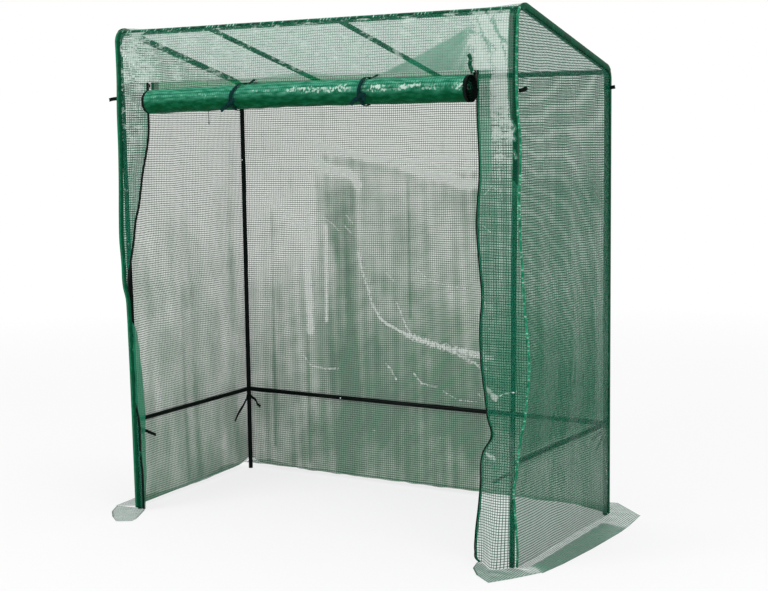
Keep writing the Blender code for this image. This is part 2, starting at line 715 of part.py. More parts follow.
def build_corner_tabs():
    """Short tapes sewn into the upright corner seams, which stick out beside each post."""
    tabs = {
        "front_left": (LEFT, True, 1.428, 0.044),
        "front_right": (RIGHT, True, 1.406, 0.034),
        "rear_left": (LEFT, False, 1.437, 0.022),
        "rear_right": (RIGHT, False, 1.437, 0.022),
    }
    for where, (side, front, height, length) in tabs.items():
        stand = corner_film(side, height) if front else SIDE_FILM
        start = Vector((side * (stand + FILM / 2 + 0.0015), post_axis(side, front, height).y, height))
        end = start + Vector((side * length, 0, 0.002))
        name = f"corner_tab_{where}"
        tab = place(name, strap_mesh(name, start, end, TAPE_WIDTH, TAPE, (0, 0, 1)), TAPE_BLACK)
        rounding = tab.modifiers.new("rounding", "BEVEL")
        rounding.width = 0.0004
        rounding.segments = 1


def build_inner_ties():
    """The cover's inner ties hold it to the posts under the ring. Their ends hang loose."""
    tails = {
        "rear_left": ((0.040, -0.004, -0.046), (0.004, -0.052, -0.058)),
        "rear_right": ((-0.034, -0.010, -0.030), (-0.006, -0.040, -0.050)),
        "front_left": ((0.006, 0.058, -0.036), (0.010, 0.020, -0.058)),
        "front_right": ((-0.068, 0.004, -0.044), (-0.006, 0.030, -0.062)),
    }
    for where, ends in tails.items():
        front, side = where.startswith("front"), LEFT if where.endswith("left") else RIGHT
        low = post_axis(side, front, RING_HEIGHT - 0.030)
        high = post_axis(side, front, RING_HEIGHT)
        inner = TUBE_RADIUS + GAP
        loop = ring_mesh("loop", inner, TAPE, 0.010, low, high - low)
        tie = place(f"inner_tie_{where}", loop, TAPE_BLACK)
        for number, tip in enumerate(ends, 1):
            away = Vector((tip[0], tip[1], 0)).normalized()
            start = low + away * (inner + TAPE / 2)
            across = (-away.y, away.x, 0)
            join(tie, strap_mesh("tail", start, start + Vector(tip), 0.006, TAPE, across), f"tail_{number}")


# The string's route, down from the door's seam on the inner side
STRING_ROUTE = (
    (-0.3680, -0.3500, 1.4750),
    (-0.3684, -0.3478, 1.4500),
    (-0.3690, -0.3466, 1.4200),
    (-0.3688, -0.3462, 1.3900),
    (-0.3693, -0.3460, 1.3600),
    (-0.3686, -0.3458, 1.3340),
)
STRING_DIAMETER = 0.0014


def build_string():
    curve = bpy.data.curves.new("loose_string", "CURVE")
    curve.dimensions = "3D"
    curve.bevel_depth = STRING_DIAMETER / 2
    curve.bevel_resolution = 2
    curve.use_fill_caps = True
    spline = curve.splines.new("POLY")
    steps = 24
    heights = [p[2] for p in STRING_ROUTE]
    spline.points.add(steps - 1)
    for i, point in enumerate(spline.points):
        height = blend(heights[0], heights[-1], i / (steps - 1))
        x = through([(p[2], p[0]) for p in STRING_ROUTE], height)
        y = through([(p[2], p[1]) for p in STRING_ROUTE], height)
        point.co = (x, y, height, 1)
    string = bpy.data.objects.new("loose_string", curve)
    GREENHOUSE.objects.link(string)
    curve.materials.append(TAPE_BLACK)


build_posts()
build_beams()
build_ring()
build_snap_buttons()
build_cover()
build_skirts()
build_door_roll()
film_panel("door_curtain", curtain_shape, 12, 3, ROLL_GREEN)
build_door_ties()
build_zip_sliders()
build_corner_tabs()
build_inner_ties()
build_string()
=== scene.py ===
import math

import bmesh
import bpy
import numpy as np
from mathutils import Matrix, Vector


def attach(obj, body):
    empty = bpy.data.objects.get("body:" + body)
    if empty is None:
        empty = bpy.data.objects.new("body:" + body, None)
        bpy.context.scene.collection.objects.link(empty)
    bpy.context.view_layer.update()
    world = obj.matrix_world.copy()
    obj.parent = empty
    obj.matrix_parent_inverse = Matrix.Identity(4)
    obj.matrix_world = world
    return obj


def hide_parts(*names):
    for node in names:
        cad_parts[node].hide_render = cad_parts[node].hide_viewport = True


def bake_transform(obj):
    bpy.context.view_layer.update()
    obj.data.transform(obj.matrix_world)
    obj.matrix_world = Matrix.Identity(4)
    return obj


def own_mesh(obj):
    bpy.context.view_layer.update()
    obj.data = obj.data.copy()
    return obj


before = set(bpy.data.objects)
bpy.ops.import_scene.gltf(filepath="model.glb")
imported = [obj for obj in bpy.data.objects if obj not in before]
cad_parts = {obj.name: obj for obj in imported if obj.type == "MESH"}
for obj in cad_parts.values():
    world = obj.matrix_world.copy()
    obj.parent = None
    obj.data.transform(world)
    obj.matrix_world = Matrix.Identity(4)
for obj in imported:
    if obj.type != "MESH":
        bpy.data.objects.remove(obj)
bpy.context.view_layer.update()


# The camera stands in front of the greenhouse and to its right, at chest height, and looks a
# little down on it. Its lens is a short telephoto, so that the upright tubes stay upright.
CAMERA_PLACE, CAMERA_LENS = (2.543, -4.101, 1.297), 66.94
YAW, PITCH, LEAN = (math.radians(angle) for angle in (-30.95, 6.47, -0.78))


def placed(name, data):
    """A new object in the scene, at the origin and unturned."""
    made = bpy.data.objects.new(name, data)
    bpy.context.collection.objects.link(made)
    return made


forward = Vector((math.sin(YAW) * math.cos(PITCH), math.cos(YAW) * math.cos(PITCH), -math.sin(PITCH)))
level = forward.cross(Vector((0, 0, 1))).normalized()
plumb = level.cross(forward)
camera_right = math.cos(LEAN) * level + math.sin(LEAN) * plumb
camera_up = -math.sin(LEAN) * level + math.cos(LEAN) * plumb
camera = placed("camera", bpy.data.cameras.new("camera"))
camera.data.sensor_width = 36
camera.data.lens = CAMERA_LENS
turn = Matrix((camera_right, camera_up, -forward)).transposed().to_4x4()
camera.matrix_world = Matrix.Translation(CAMERA_PLACE) @ turn
bpy.context.scene.camera = camera


# A loose thread hangs from the door's seam on the inner side, left over where the seam was
# finished. It is twisted black polyester, sewn in at its top and knotted at its lower end.
STRING_ROUTE = (
    (-0.3680, -0.3500, 1.4750),
    (-0.3684, -0.3478, 1.4500),
    (-0.3690, -0.3466, 1.4200),
    (-0.3688, -0.3462, 1.3900),
    (-0.3693, -0.3460, 1.3600),
    (-0.3686, -0.3458, 1.3340),
)
STRING_DIAMETER = 0.0018
KNOT_HEIGHT = 1.340


def through(points, value):
    """A smooth curve through (value, result) points, read at an array of values."""
    at, result = np.array(sorted(points), float).T
    slope = np.gradient(result, at)
    i = np.clip(np.searchsorted(at, value, side="right") - 1, 0, len(at) - 2)
    span = at[i + 1] - at[i]
    t = np.clip((value - at[i]) / span, 0, 1)
    bend = slope[i] * span * (t**3 - 2 * t**2 + t) + slope[i + 1] * span * (t**3 - t**2)
    return result[i] + (result[i + 1] - result[i]) * (3 * t**2 - 2 * t**3) + bend


class Nodes:
    """The nodes of a material or a world. Each method adds one and gives what comes out of it."""

    def __init__(self, tree):
        self.tree = tree

    def put(self, value, socket):
        if isinstance(value, bpy.types.NodeSocket):
            self.tree.links.new(value, socket)
        elif value is not None:
            socket.default_value = (*value, 1.0) if socket.type == "RGBA" else value

    def outputs(self, kind, feeds=(), **settings):
        made = self.tree.nodes.new("ShaderNode" + kind)
        for name, value in settings.items():
            setattr(made, name, value)
        for name, value in dict(feeds).items():
            self.put(value, made.inputs[name])
        return made.outputs

    def node(self, kind, feeds=(), out=0, **settings):
        return self.outputs(kind, feeds, **settings)[out]

    def math(self, operation, *values, **settings):
        return self.node("Math", enumerate(values), operation=operation, **settings)

    def span(self, value, low, high, to_low=0.0, to_high=1.0):
        """Carries a value smoothly from one span to another."""
        feeds = enumerate((value, low, high, to_low, to_high))
        return self.node("MapRange", feeds, interpolation_type="SMOOTHSTEP")

    def mix(self, share, a, b):
        """Mixes two colours."""
        return self.node("Mix", {0: share, 6: a, 7: b}, out=2, data_type="RGBA")

    def place(self, kind="Object"):
        return self.node("TexCoord", out=kind)

    def split(self, place):
        """The first two parts of a place."""
        return self.outputs("SeparateXYZ", {0: place})[:2]

    def noise(self, where, scale, detail=3.0, **more):
        return self.node("TexNoise", {"Vector": where, "Scale": scale, "Detail": detail, **more})

    def bump(self, height, distance, normal=None):
        return self.node("Bump", {"Height": height, "Distance": distance, "Normal": normal})


class Finish(Nodes):
    """A material, whose own shader is fed by its nodes."""

    def __init__(self, name):
        self.material = bpy.data.materials.new(name)
        self.material.use_nodes = True
        super().__init__(self.material.node_tree)
        self.shader = self.tree.nodes["Principled BSDF"]

    def feed(self, **sockets):
        """Sets the shader's own sockets, or links something to them, and gives the material."""
        for name, value in sockets.items():
            self.put(value, self.shader.inputs[name.replace("_", " ")])
        return self.material


def thread_finish():
    finish = Finish("sewing_thread")
    where = finish.place()
    strands = finish.node(
        "TexWave", {"Vector": where, "Scale": 260.0, "Distortion": 2.0}, bands_direction="Z"
    )
    return finish.feed(
        Base_Color=finish.mix(strands, (0.006, 0.012, 0.010), (0.025, 0.04, 0.035)),
        Roughness=0.7,
        Normal=finish.bump(strands, 0.0003),
    )


curve = bpy.data.curves.new("hanging_thread", "CURVE")
curve.dimensions = "3D"
curve.bevel_depth = STRING_DIAMETER / 2
curve.bevel_resolution = 3
curve.use_fill_caps = True
spline = curve.splines.new("POLY")
heights = np.linspace(STRING_ROUTE[0][2], STRING_ROUTE[-1][2], 30)
spline.points.add(len(heights) - 1)
for axis in (0, 1, 2):
    for point, where in zip(spline.points, through([(p[2], p[axis]) for p in STRING_ROUTE], heights)):
        point.co[axis] = where
for point in spline.points:
    point.co[3] = 1.0
    point.radius = 1 + 1.3 * math.exp(-(((point.co[2] - KNOT_HEIGHT) / 0.005) ** 2))
curve.materials.append(thread_finish())
thread = placed("hanging_thread", curve)
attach(thread, "greenhouse")
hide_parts("loose_string")


# The frame is 16 mm steel tube with a black baked coat. Each length is drawn down at one end and
# plugs into the next, and a sprung steel button locks two of the joints.
TUBES = (
    "lower_post", "main_post", "top_corner", "front_beam", "rear_beam", "gable_bar", "roof_bar", "ring_bar",
)


def tube_finish():
    finish = Finish("black_tube_coat")
    where = finish.place()
    orange_peel = finish.noise(where, 420.0, 2.0)
    rubbed = finish.noise(where, 9.0, 5.0)
    return finish.feed(
        Base_Color=finish.mix(finish.span(rubbed, 0.45, 0.75), (0.001, 0.004, 0.003), (0.006, 0.010, 0.008)),
        Roughness=finish.span(rubbed, 0.3, 0.7, 0.22, 0.42),
        Specular_IOR_Level=0.05,
        Normal=finish.bump(orange_peel, 0.00006),
    )


def steel_finish():
    finish = Finish("bright_steel")
    where = finish.place()
    return finish.feed(
        Base_Color=(0.72, 0.72, 0.71),
        Metallic=1.0,
        Roughness=finish.span(finish.noise(where, 300.0), 0.3, 0.7, 0.16, 0.34),
    )


tube_coat, bright_steel = tube_finish(), steel_finish()
for name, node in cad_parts.items():
    if name.startswith(TUBES) or name.startswith("snap_button"):
        node.material_slots[0].material = bright_steel if name.startswith("snap") else tube_coat
        node.data.shade_smooth()
        joined = node.modifiers.new("joined_faces", "WELD")
        joined.merge_threshold = 0.00002
        ends = node.modifiers.new("square_ends", "EDGE_SPLIT")
        ends.split_angle = math.radians(35)


# The roof is one panel of film, laid over the bars and sagging a little between them. The film is
# clear polythene with a woven grid of green threads inside it, creased from its packing.
HALF_WIDTH, HALF_DEPTH = 0.742, 0.342
FRONT_HEIGHT, REAR_HEIGHT = 1.664, 1.493
BEND, OFF_TUBE = 0.038, 0.011
SIDE_FILM, END_FILM = HALF_WIDTH + OFF_TUBE, HALF_DEPTH + OFF_TUBE
ROOF_BARS = (-0.372, 0.132)
TILT = math.atan2(FRONT_HEIGHT - REAR_HEIGHT, 2 * HALF_DEPTH)
FRONT_TURN, REAR_TURN = math.pi / 2 + TILT, math.pi / 2 - TILT
FRONT_BEND = (BEND - HALF_DEPTH, FRONT_HEIGHT - BEND * math.tan(FRONT_TURN / 2))
REAR_BEND = (HALF_DEPTH - BEND, REAR_HEIGHT - BEND * math.tan(REAR_TURN / 2))
WALL_TOP, ROOF_EDGE = 0.488, 0.512  # where the seam's two panels end, as shares of the way round an elbow
GRID_PITCH = 0.0080


def film_round(front, turned, off=OFF_TUBE):
    """Where the film passes round an elbow, from 0 at the post to 1 at the gable bar, as y and z."""
    (y, z), angle = (FRONT_BEND, math.pi - turned * FRONT_TURN) if front else (REAR_BEND, turned * REAR_TURN)
    return y + (BEND + off) * np.cos(angle), z + (BEND + off) * np.sin(angle)


def evenly(y, z, share):
    """Points at shares of the length of a line, which is given as y and z."""
    way = np.concatenate(([0], np.cumsum(np.hypot(np.diff(y), np.diff(z)))))
    return np.interp(share * way[-1], way, y), np.interp(share * way[-1], way, z)


def over_gable(share, end, off=OFF_TUBE):
    """Along the film's line over the gable. It starts and ends part of the way round the elbows."""
    steps = np.linspace(end, 1, 33)
    front, rear = film_round(True, steps, off), film_round(False, steps[::-1], off)
    return evenly(*(np.concatenate(pair) for pair in zip(front, rear)), share)


def up_to_seam(share, front, foot, off=OFF_TUBE):
    """Along the film's line up a row of posts, from a height to the seam over the beam."""
    y, z = film_round(front, np.linspace(0, WALL_TOP, 17), off)
    return evenly(np.concatenate((y[:1], y)), np.concatenate(([foot], z)), share)


def swell(a, b, length, seed):
    """Soft uneven relief from 0 to 1, whose swells are about a length apart."""
    chance = np.random.default_rng(seed)
    total = 0.0
    for _ in range(7):
        turn, step, start = chance.uniform((0, 0.6, 0), (2 * math.pi, 1.5, 2 * math.pi))
        along = a * math.cos(turn) + b * math.sin(turn)
        total = total + np.sin(2 * math.pi / length * step * along + start)
    return np.clip(0.5 + total / 10, 0, 1)


def uneven(a, b, length, seed, depth):
    """The same relief around 0, as deep as it is told."""
    return depth * (swell(a, b, length, seed) - 0.5)


def ramp(value, none, full):
    """Rises from 0 where a value is none to 1 where it is full."""
    return np.clip((value - none) / (full - none), 0, 1)


def hump(value, middle, half):
    """1 where a value is middle, and soon 0 farther off than half."""
    return np.exp(-(((value - middle) / half) ** 2))


def lines(a, b, marks):
    """How far a point lies on drawn lines, from 0 to 1. Each has its half width, its strength and then
    its points, and its measures are in millimetres."""
    a, b = 1000 * a, 1000 * b
    depth = np.zeros_like(a + b)
    for half, strength, *points in marks:
        for (ax, ay), (bx, by) in zip(points, points[1:]):
            dx, dy = bx - ax, by - ay
            t = np.clip(((a - ax) * dx + (b - ay) * dy) / (dx * dx + dy * dy), 0, 1)
            gap = np.hypot(a - ax - t * dx, b - ay - t * dy)
            depth = np.maximum(depth, strength * hump(gap, 0, half))
    return depth


FILM_TRAITS = ("clear", "creased", "doubled", "glare", "milky")


def film_panel(name, shape, size, finish, look=None, cell=0.008, inward=False, closed=False, woven=None):
    """A panel of film, one surface thick: a grid laid out by shape(u, v), with its UV map in metres.
    The map follows the panel's edges, or the two axes in woven, along which its threads run.
    look(x, y, z) gives the film's traits from 0 to 1, in their order. Those it leaves out are 0."""
    across, up = (max(2, round(side / cell)) for side in size)
    bm = bmesh.new()
    bmesh.ops.create_grid(bm, x_segments=across, y_segments=up, size=0.5)
    if inward:
        bmesh.ops.reverse_faces(bm, faces=bm.faces)
    mesh = bpy.data.meshes.new(name)
    bm.to_mesh(mesh)
    count = len(mesh.vertices)
    flat = np.empty(count * 3)
    mesh.vertices.foreach_get("co", flat)
    u, v = flat.reshape(-1, 3)[:, 0] + 0.5, flat.reshape(-1, 3)[:, 1] + 0.5
    laid = np.stack([np.broadcast_to(side, count) for side in shape(u, v)], axis=1)
    mesh.vertices.foreach_set("co", laid.ravel())
    corners = np.empty(len(mesh.loops), np.int32)
    mesh.loops.foreach_get("vertex_index", corners)
    uv = (laid[:, woven] if woven else np.stack((u * size[0], v * size[1]), axis=1))[corners]
    mesh.uv_layers.new(name="UVMap").data.foreach_set("uv", uv.ravel())
    if look:
        for label, amount in zip(FILM_TRAITS, look(*laid.T)):
            layer = mesh.attributes.new(label, "FLOAT", "POINT")
            layer.data.foreach_set("value", np.clip(np.broadcast_to(amount, count), 0, 1).astype(np.float32))
    if closed:
        bm.clear()
        bm.from_mesh(mesh)
        bmesh.ops.remove_doubles(bm, verts=bm.verts, dist=0.00001)
        bm.to_mesh(mesh)
    bm.free()
    mesh.shade_smooth()
    mesh.materials.append(finish)
    return placed(name, mesh)


def sew_on(piece, slot, *solids, body="greenhouse"):
    """The piece rides a body, and stands for the solids that it replaces."""
    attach(piece, body)
    if solids:
        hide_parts(*solids)
    return piece


def film_finish(name, deep, clear, cover, thread, widths=(0.0024, 0.0024), laid="UV"):
    """Reinforced film: cells of clear film between green threads. Where it is deep the cells are green
    and let little through. Specks and streaks of glare are painted over it in white, and its creases are
    painted white, partly as the film's own whitening at a fold and partly as painted glints."""
    finish = Finish(name)
    where = finish.place(laid)
    if laid == "Object":
        across, _, up = finish.outputs("SeparateXYZ", {0: where})
        where = finish.node("CombineXYZ", {0: across, 1: up})
    sway = finish.node("TexNoise", {"Vector": where, "Scale": 5.0, "Detail": 2.0}, out=1)
    swayed = finish.node("VectorMath", {0: sway, 1: (0.012, 0.012, 0.0), 2: where}, operation="MULTIPLY_ADD")
    threads = []
    for value, width in zip(finish.split(swayed), widths):
        from_thread = finish.math("PINGPONG", value, GRID_PITCH / 2)
        threads.append(finish.span(from_thread, width / 2 - 0.0003, width / 2 + 0.0003, 1.0, 0.0))
    threads = finish.math("MAXIMUM", *threads)
    clearness, creased, doubled, glare, milky = [
        finish.node("Attribute", out=2, attribute_name=trait) for trait in FILM_TRAITS
    ]
    patches = finish.noise(where, 6.0, 4.0)
    small = finish.noise(where, 34.0, 4.0)
    specks = finish.noise(swayed, 95.0, 5.0, Roughness=0.65)
    drawn_out = finish.node(
        "Mapping", {"Vector": swayed, "Rotation": (0, 0, 0.5), "Scale": (22.0, 90.0, 1.0)}
    )
    streaks = finish.noise(drawn_out, 1.0, 4.0, Roughness=0.6)
    # The more glare there is, the lower the specks' and streaks' limit lies
    limit = finish.math("MULTIPLY_ADD", glare, -0.40, 0.78)
    speckled = finish.math("MULTIPLY_ADD", specks, 0.45, finish.math("MULTIPLY", streaks, 0.55))
    # Painted highlights: the glare is white specks and streaks in the colour and the alpha
    shine = finish.span(speckled, finish.math("SUBTRACT", limit, 0.06), finish.math("ADD", limit, 0.06))
    shine = finish.math("MULTIPLY", shine, 0.72)
    # The creases are painted white: partly the film's own whitening at a fold, partly painted glints
    sharp = finish.math("MULTIPLY_ADD", specks, 0.8, finish.math("MULTIPLY", creased, 0.62))
    white = finish.math("MAXIMUM", shine, finish.span(sharp, 0.80, 0.98))
    white = finish.math("MULTIPLY", white, finish.math("MULTIPLY_ADD", threads, -0.60, 1.0))
    milk = finish.math("MULTIPLY", milky, finish.math("SUBTRACT", 1.0, threads))
    white = finish.math("MAXIMUM", white, milk)
    haze = finish.math("ADD", clearness, finish.span(patches, 0.30, 0.70, -0.10, 0.10))
    green = finish.mix(threads, finish.mix(haze, deep, clear), thread)
    folded = finish.mix(patches, (0.003, 0.12, 0.056), (0.030, 0.26, 0.145))
    rolled = finish.mix(patches, (0.0005, 0.024, 0.011), (0.002, 0.080, 0.040))
    folded = finish.mix(finish.span(doubled, 0.86, 0.96), folded, rolled)
    fold = finish.math("MULTIPLY", doubled, finish.math("MULTIPLY_ADD", threads, -0.5, 1.0))
    green = finish.mix(fold, green, folded)
    cells, thread_cover = finish.span(haze, 0.0, 1.0, *cover[:2]), finish.math("MULTIPLY", threads, cover[2])
    solid = finish.math("MAXIMUM", thread_cover, cells)
    solid = finish.math("MAXIMUM", solid, finish.math("MULTIPLY", doubled, 0.90))
    relief = finish.bump(small, 0.0050, finish.bump(patches, 0.014))
    return finish.feed(
        Base_Color=finish.mix(white, green, (0.82, 0.88, 0.84)),
        Alpha=finish.math("MAXIMUM", solid, finish.math("MULTIPLY", white, 0.90)),
        Roughness=finish.span(patches, 0.3, 0.7, 0.16, 0.32),
        Specular_IOR_Level=0.05,
        Normal=finish.bump(threads, 0.0003, relief),
    )


ROOF_SAG = 0.012
BLEND_IN = 0.16  # the width over which the roof comes down from a gable bar to the roof bars


def roof_shape(u, v):
    """The roof comes down from the gables to the roof bars, and sags a little in each of its three bays."""
    x = (SIDE_FILM + 0.0015) * (2 * u - 1)
    y, z = over_gable(v, ROOF_EDGE)
    (front_y, front_z), (rear_y, rear_z) = film_round(True, 0.5, 0), film_round(False, 0.5, 0)
    over_bars = front_z + (rear_z - front_z) * (y - front_y) / (rear_y - front_y) + OFF_TUBE / math.cos(TILT)
    inwards = ramp(abs(x), HALF_WIDTH, HALF_WIDTH - BLEND_IN)
    z = z + (np.minimum(z, over_bars) - z) * inwards**2 * (3 - 2 * inwards)
    supports = (-HALF_WIDTH, *ROOF_BARS, HALF_WIDTH)
    sag = 0.0
    for low, high in zip(supports, supports[1:]):
        sag = sag + ROOF_SAG * np.sin(math.pi * ramp(x, low, high)) ** 2
    free = np.clip(np.cos(math.pi * y / (2 * HALF_DEPTH)), 0, 1) ** 2
    return x, y, z - sag * free * (0.8 + 0.4 * swell(x, y, 0.3, 1))


def roof_look(x, y, z):
    # Painted highlights: white flecks of glare all over the roof, and a crease painted white, partly as a
    # glint
    creases = lines(x, y, ((8, 0.7, (-500, -300), (-300, 100), (-320, 300)),))
    return 0.95 + uneven(x, y, 0.22, 2, 0.2), creases, 0.0, 0.42 + uneven(x, y, 0.12, 9, 0.5)


lit_film = film_finish(
    "lit_film", (0.006, 0.24, 0.125), (0.14, 0.55, 0.36), (0.74, 0.13, 0.80), (0.020, 0.18, 0.098),
    (0.0016, 0.0018),
)
roof = film_panel("roof_film", roof_shape, (1.509, 0.704), lit_film, roof_look)
sew_on(roof, "film", "cover_roof")


# The header is the strip of film over the door, sewn to the roof's front edge and to both side
# walls. The door and both front flaps hang from its lower edge.
DOOR_SEAM_HEIGHT = 1.478
HANGS_FROM = DOOR_SEAM_HEIGHT - 0.0005
POST_LEAN = 0.020


def post_x(height):
    """How far a front post's axis stands from the middle. The posts lean in towards their feet."""
    return HALF_WIDTH - POST_LEAN * ramp(height, FRONT_BEND[1], 0)


# How far the film stands out from a front post, by height: at the right, then at the left
BELLY = (
    (0.0, 0.012), (0.046, 0.014), (0.118, 0.009), (0.181, 0.004), (0.244, 0.0), (0.279, 0.007),
    (0.347, 0.014), (0.399, 0.022), (0.451, 0.033), (0.514, 0.039), (0.576, 0.046), (0.81, 0.028),
    (1.10, 0.010), (1.273, 0.012), (1.36, 0.002), (1.70, 0.0),
)
LEFT_BELLY = (
    (0.0, -0.002), (0.60, -0.002), (0.70, -0.001), (0.74, 0.001), (0.78, 0.011), (0.865, 0.014),
    (0.945, 0.0185), (1.03, 0.016), (1.12, 0.011), (1.25, 0.006), (1.40, 0.004), (1.478, 0.0), (1.70, 0.0),
)


def corner_film(side, height):
    """Where a side wall's film stands at its front edge. Both bow out from their posts in places."""
    return post_x(height) + OFF_TUBE + through(BELLY if side > 0 else LEFT_BELLY, height)


def post_shade_strip(x, z):
    """The strip of the film that lies over the right front post, where the post's shade is painted in as
    darker film.
    """
    return ramp(x - corner_film(1, z), -0.029, -0.027)


def about_corner(x, z):
    """The pull at the header's right end: its strength, and its folds as a wave round one point."""
    angle = np.arctan2(z - 1.600, x - 0.625)
    strength = hump(x, 0.640, 0.080) * ramp(z, 1.600, 1.55)
    return strength, 0.5 * np.sin(8.0 * angle + 0.6) + 0.6 * np.sin(23.0 * angle + 1.0 + 9.0 * (z - 1.5))


def header_shape(u, v):
    y, z = up_to_seam(v, True, DOOR_SEAM_HEIGHT)
    x = (corner_film(1, z) - 0.0015) * (2 * u - 1)
    pull, folds = about_corner(x, z)
    free = np.sin(math.pi * v)
    return x, y + (0.0035 * pull * folds + uneven(x, z, 0.12, 3, 0.0015)) * free, z


def header_look(x, y, z):
    wedge = through(
        ((-0.30, 1.47), (-0.233, 1.472), (0.023, 1.488), (0.167, 1.474), (0.239, 1.466), (0.391, 1.514),
         (0.534, 1.573), (0.681, 1.623), (0.72, 1.60)), x,
    )
    pull, folds = about_corner(x, z)
    facets = pull * np.tanh(2.0 * folds)
    post_shade = post_shade_strip(x, z)
    under = ramp(z - wedge, 0.004, -0.004) * (x > -0.30) * ramp(x, 0.62, 0.57)
    # Painted shade: darker, greener lines along the folds at the header's right end, with less glare on them
    folds = lines(x, z, (
        (5, 1.0, (647, 1648), (695, 1573), (745, 1525)),
        (4, 1.0, (622, 1628), (648, 1560), (672, 1515)),
        (4, 1.0, (671, 1630), (700, 1560), (716, 1500)),
        (4, 0.8, (600, 1590), (640, 1575), (690, 1530)),
    ))
    # Painted light and shade: the facets round the right corner turn lighter and darker in turn, and the
    # glare is painted white, strongest near both ends
    clear = 0.92 - 0.72 * under + uneven(x, z, 0.16, 4, 0.2) + 0.25 * facets - 0.7 * folds
    glare = 0.56 - 0.48 * under + uneven(x, z, 0.09, 10, 0.5) + 0.30 * facets - 0.6 * folds
    glare = glare + 0.30 * hump(x, -0.66, 0.04) + 0.48 * hump(x, 0.67, 0.08)
    # White crease lines: partly the film's own whitening at a fold, partly painted glints, most of all in the
    # bundle at the left corner
    bundle = [(5, 1.0, (-737, 1603), (-700 + step, 1540), (-672 + 2 * step, 1482)) for step in (-12, 4, 22)]
    creases = lines(x, z, (
        *bundle,
        (4, 0.9, (-391, 1618), (-485, 1547)),
        (4, 0.8, (-445, 1611), (-435, 1539)),
        (4, 0.8, (-209, 1632), (-210, 1482)),
        (4, 0.7, (78, 1618), (78, 1482)),
        (4, 0.8, (-303, 1566), (-334, 1493)),
        (5, 0.9, (622, 1585), (668, 1482)),
        (3, 0.9, (-620, 1640), (-600, 1622)),
        (3, 0.9, (-160, 1648), (-120, 1628)),
        (3, 0.9, (220, 1645), (270, 1620)),
        (3, 0.9, (440, 1640), (500, 1604)),
    ))
    # The post's painted shade goes out as doubled film, so that the strip is darker and less clear there
    return clear, creases * (post_shade == 0), post_shade, glare * (1 - post_shade)


header = film_panel("header_film", header_shape, (1.500, 0.181), lit_film, header_look, cell=0.006)
sew_on(header, "film", "cover_header")


# The rear wall hangs from the roof's low edge to the ground in soft upright folds. Its strongest
# crease runs across its middle, where the pack was folded. Its foot doesn't quite reach the ground.
WALL_FOOT, FOLD_DEPTH = 0.004, 0.014


def loose(u, v):
    """How free a place on a panel is: not at all along its edges, and most of all in its middle."""
    return np.sin(math.pi * u) * np.clip(np.sin(math.pi * v), 0, 1)


def drape(u, v, folds, phase):
    """The soft upright folds of a hanging panel: outwards only, and nothing along its edges."""
    up = np.clip(np.sin(math.pi * v), 0, 1)
    wave = 0.5 - 0.5 * np.cos(2 * math.pi * folds * u + phase * up)
    return FOLD_DEPTH * wave * np.sin(math.pi * u) * up**0.6


# White lines on the rear wall: its creases, whitened partly by the fold itself and partly as painted glints,
# and a few short painted glints
REAR_WHITE_CREASES_AND_GLINTS = (
    (14, 0.85, (-242, 860), (-221, 790), (-201, 730), (-180, 670), (-155, 624)),
    (6, 0.7, (-225, 850), (-195, 760), (-165, 700), (-150, 640)),
    (10, 1.0, (-155, 624), (-121, 600), (-62, 573), (21, 549)),
    (26, 0.9, (-40, 566), (21, 549), (124, 530), (256, 510), (300, 504)),
    (17, 0.8, (104, 529), (184, 502), (256, 471), (290, 462)),
    (7.5, 0.9, (-87, 685), (-61, 629), (-45, 593), (-24, 565)),
    (7, 0.9, (-398, 991), (-358, 965), (-328, 939)),
    (7, 0.9, (-292, 998), (-266, 970)),
    (7, 0.9, (-301, 959), (-273, 935)),
    (7, 0.9, (-125, 788), (-86, 755)),
    (8, 0.8, (7, 804), (59, 772), (136, 753), (212, 745)),
    (8, 0.9, (-491, 463), (-456, 423), (-392, 416), (-340, 420)),
    (8, 0.9, (-130, 455), (-106, 430), (-88, 396)),
    (9, 0.9, (-14, 426), (19, 391), (86, 386)),
    (8, 0.8, (110, 372), (170, 345), (244, 340)),
    (8, 0.8, (244, 377), (271, 354)),
)


def between(value, low, high, soft):
    """1 between two limits and 0 outside them, with soft edges."""
    return np.clip((value - low) / soft + 0.5, 0, 1) * np.clip((high - value) / soft + 0.5, 0, 1)


def rear_foot(x):
    """The rear wall's foot hangs a little above the ground, most of all at its left end."""
    lift = 0.016 + 0.020 * hump(x, -0.752, 0.045) + uneven(x, 0 * x, 0.10, 17, 0.006)
    return WALL_FOOT + lift * ramp(x, 0.745, 0.625)


def rear_shape(u, v):
    x = 0.7515 * (2 * u - 1)
    y, z = up_to_seam(v, False, 0.0)
    z = z + rear_foot(x) * (1 - v) ** 2
    up = ramp(z, 0, REAR_BEND[1])
    free = loose(u, up)
    out = drape(u, up, 5, 1.2) + 0.004 * lines(x, z, REAR_WHITE_CREASES_AND_GLINTS) * free
    return x, y + out + 0.003 * free * (swell(x, z, 0.11, 5) + swell(x, 0.3 * z, 0.06, 6)), z


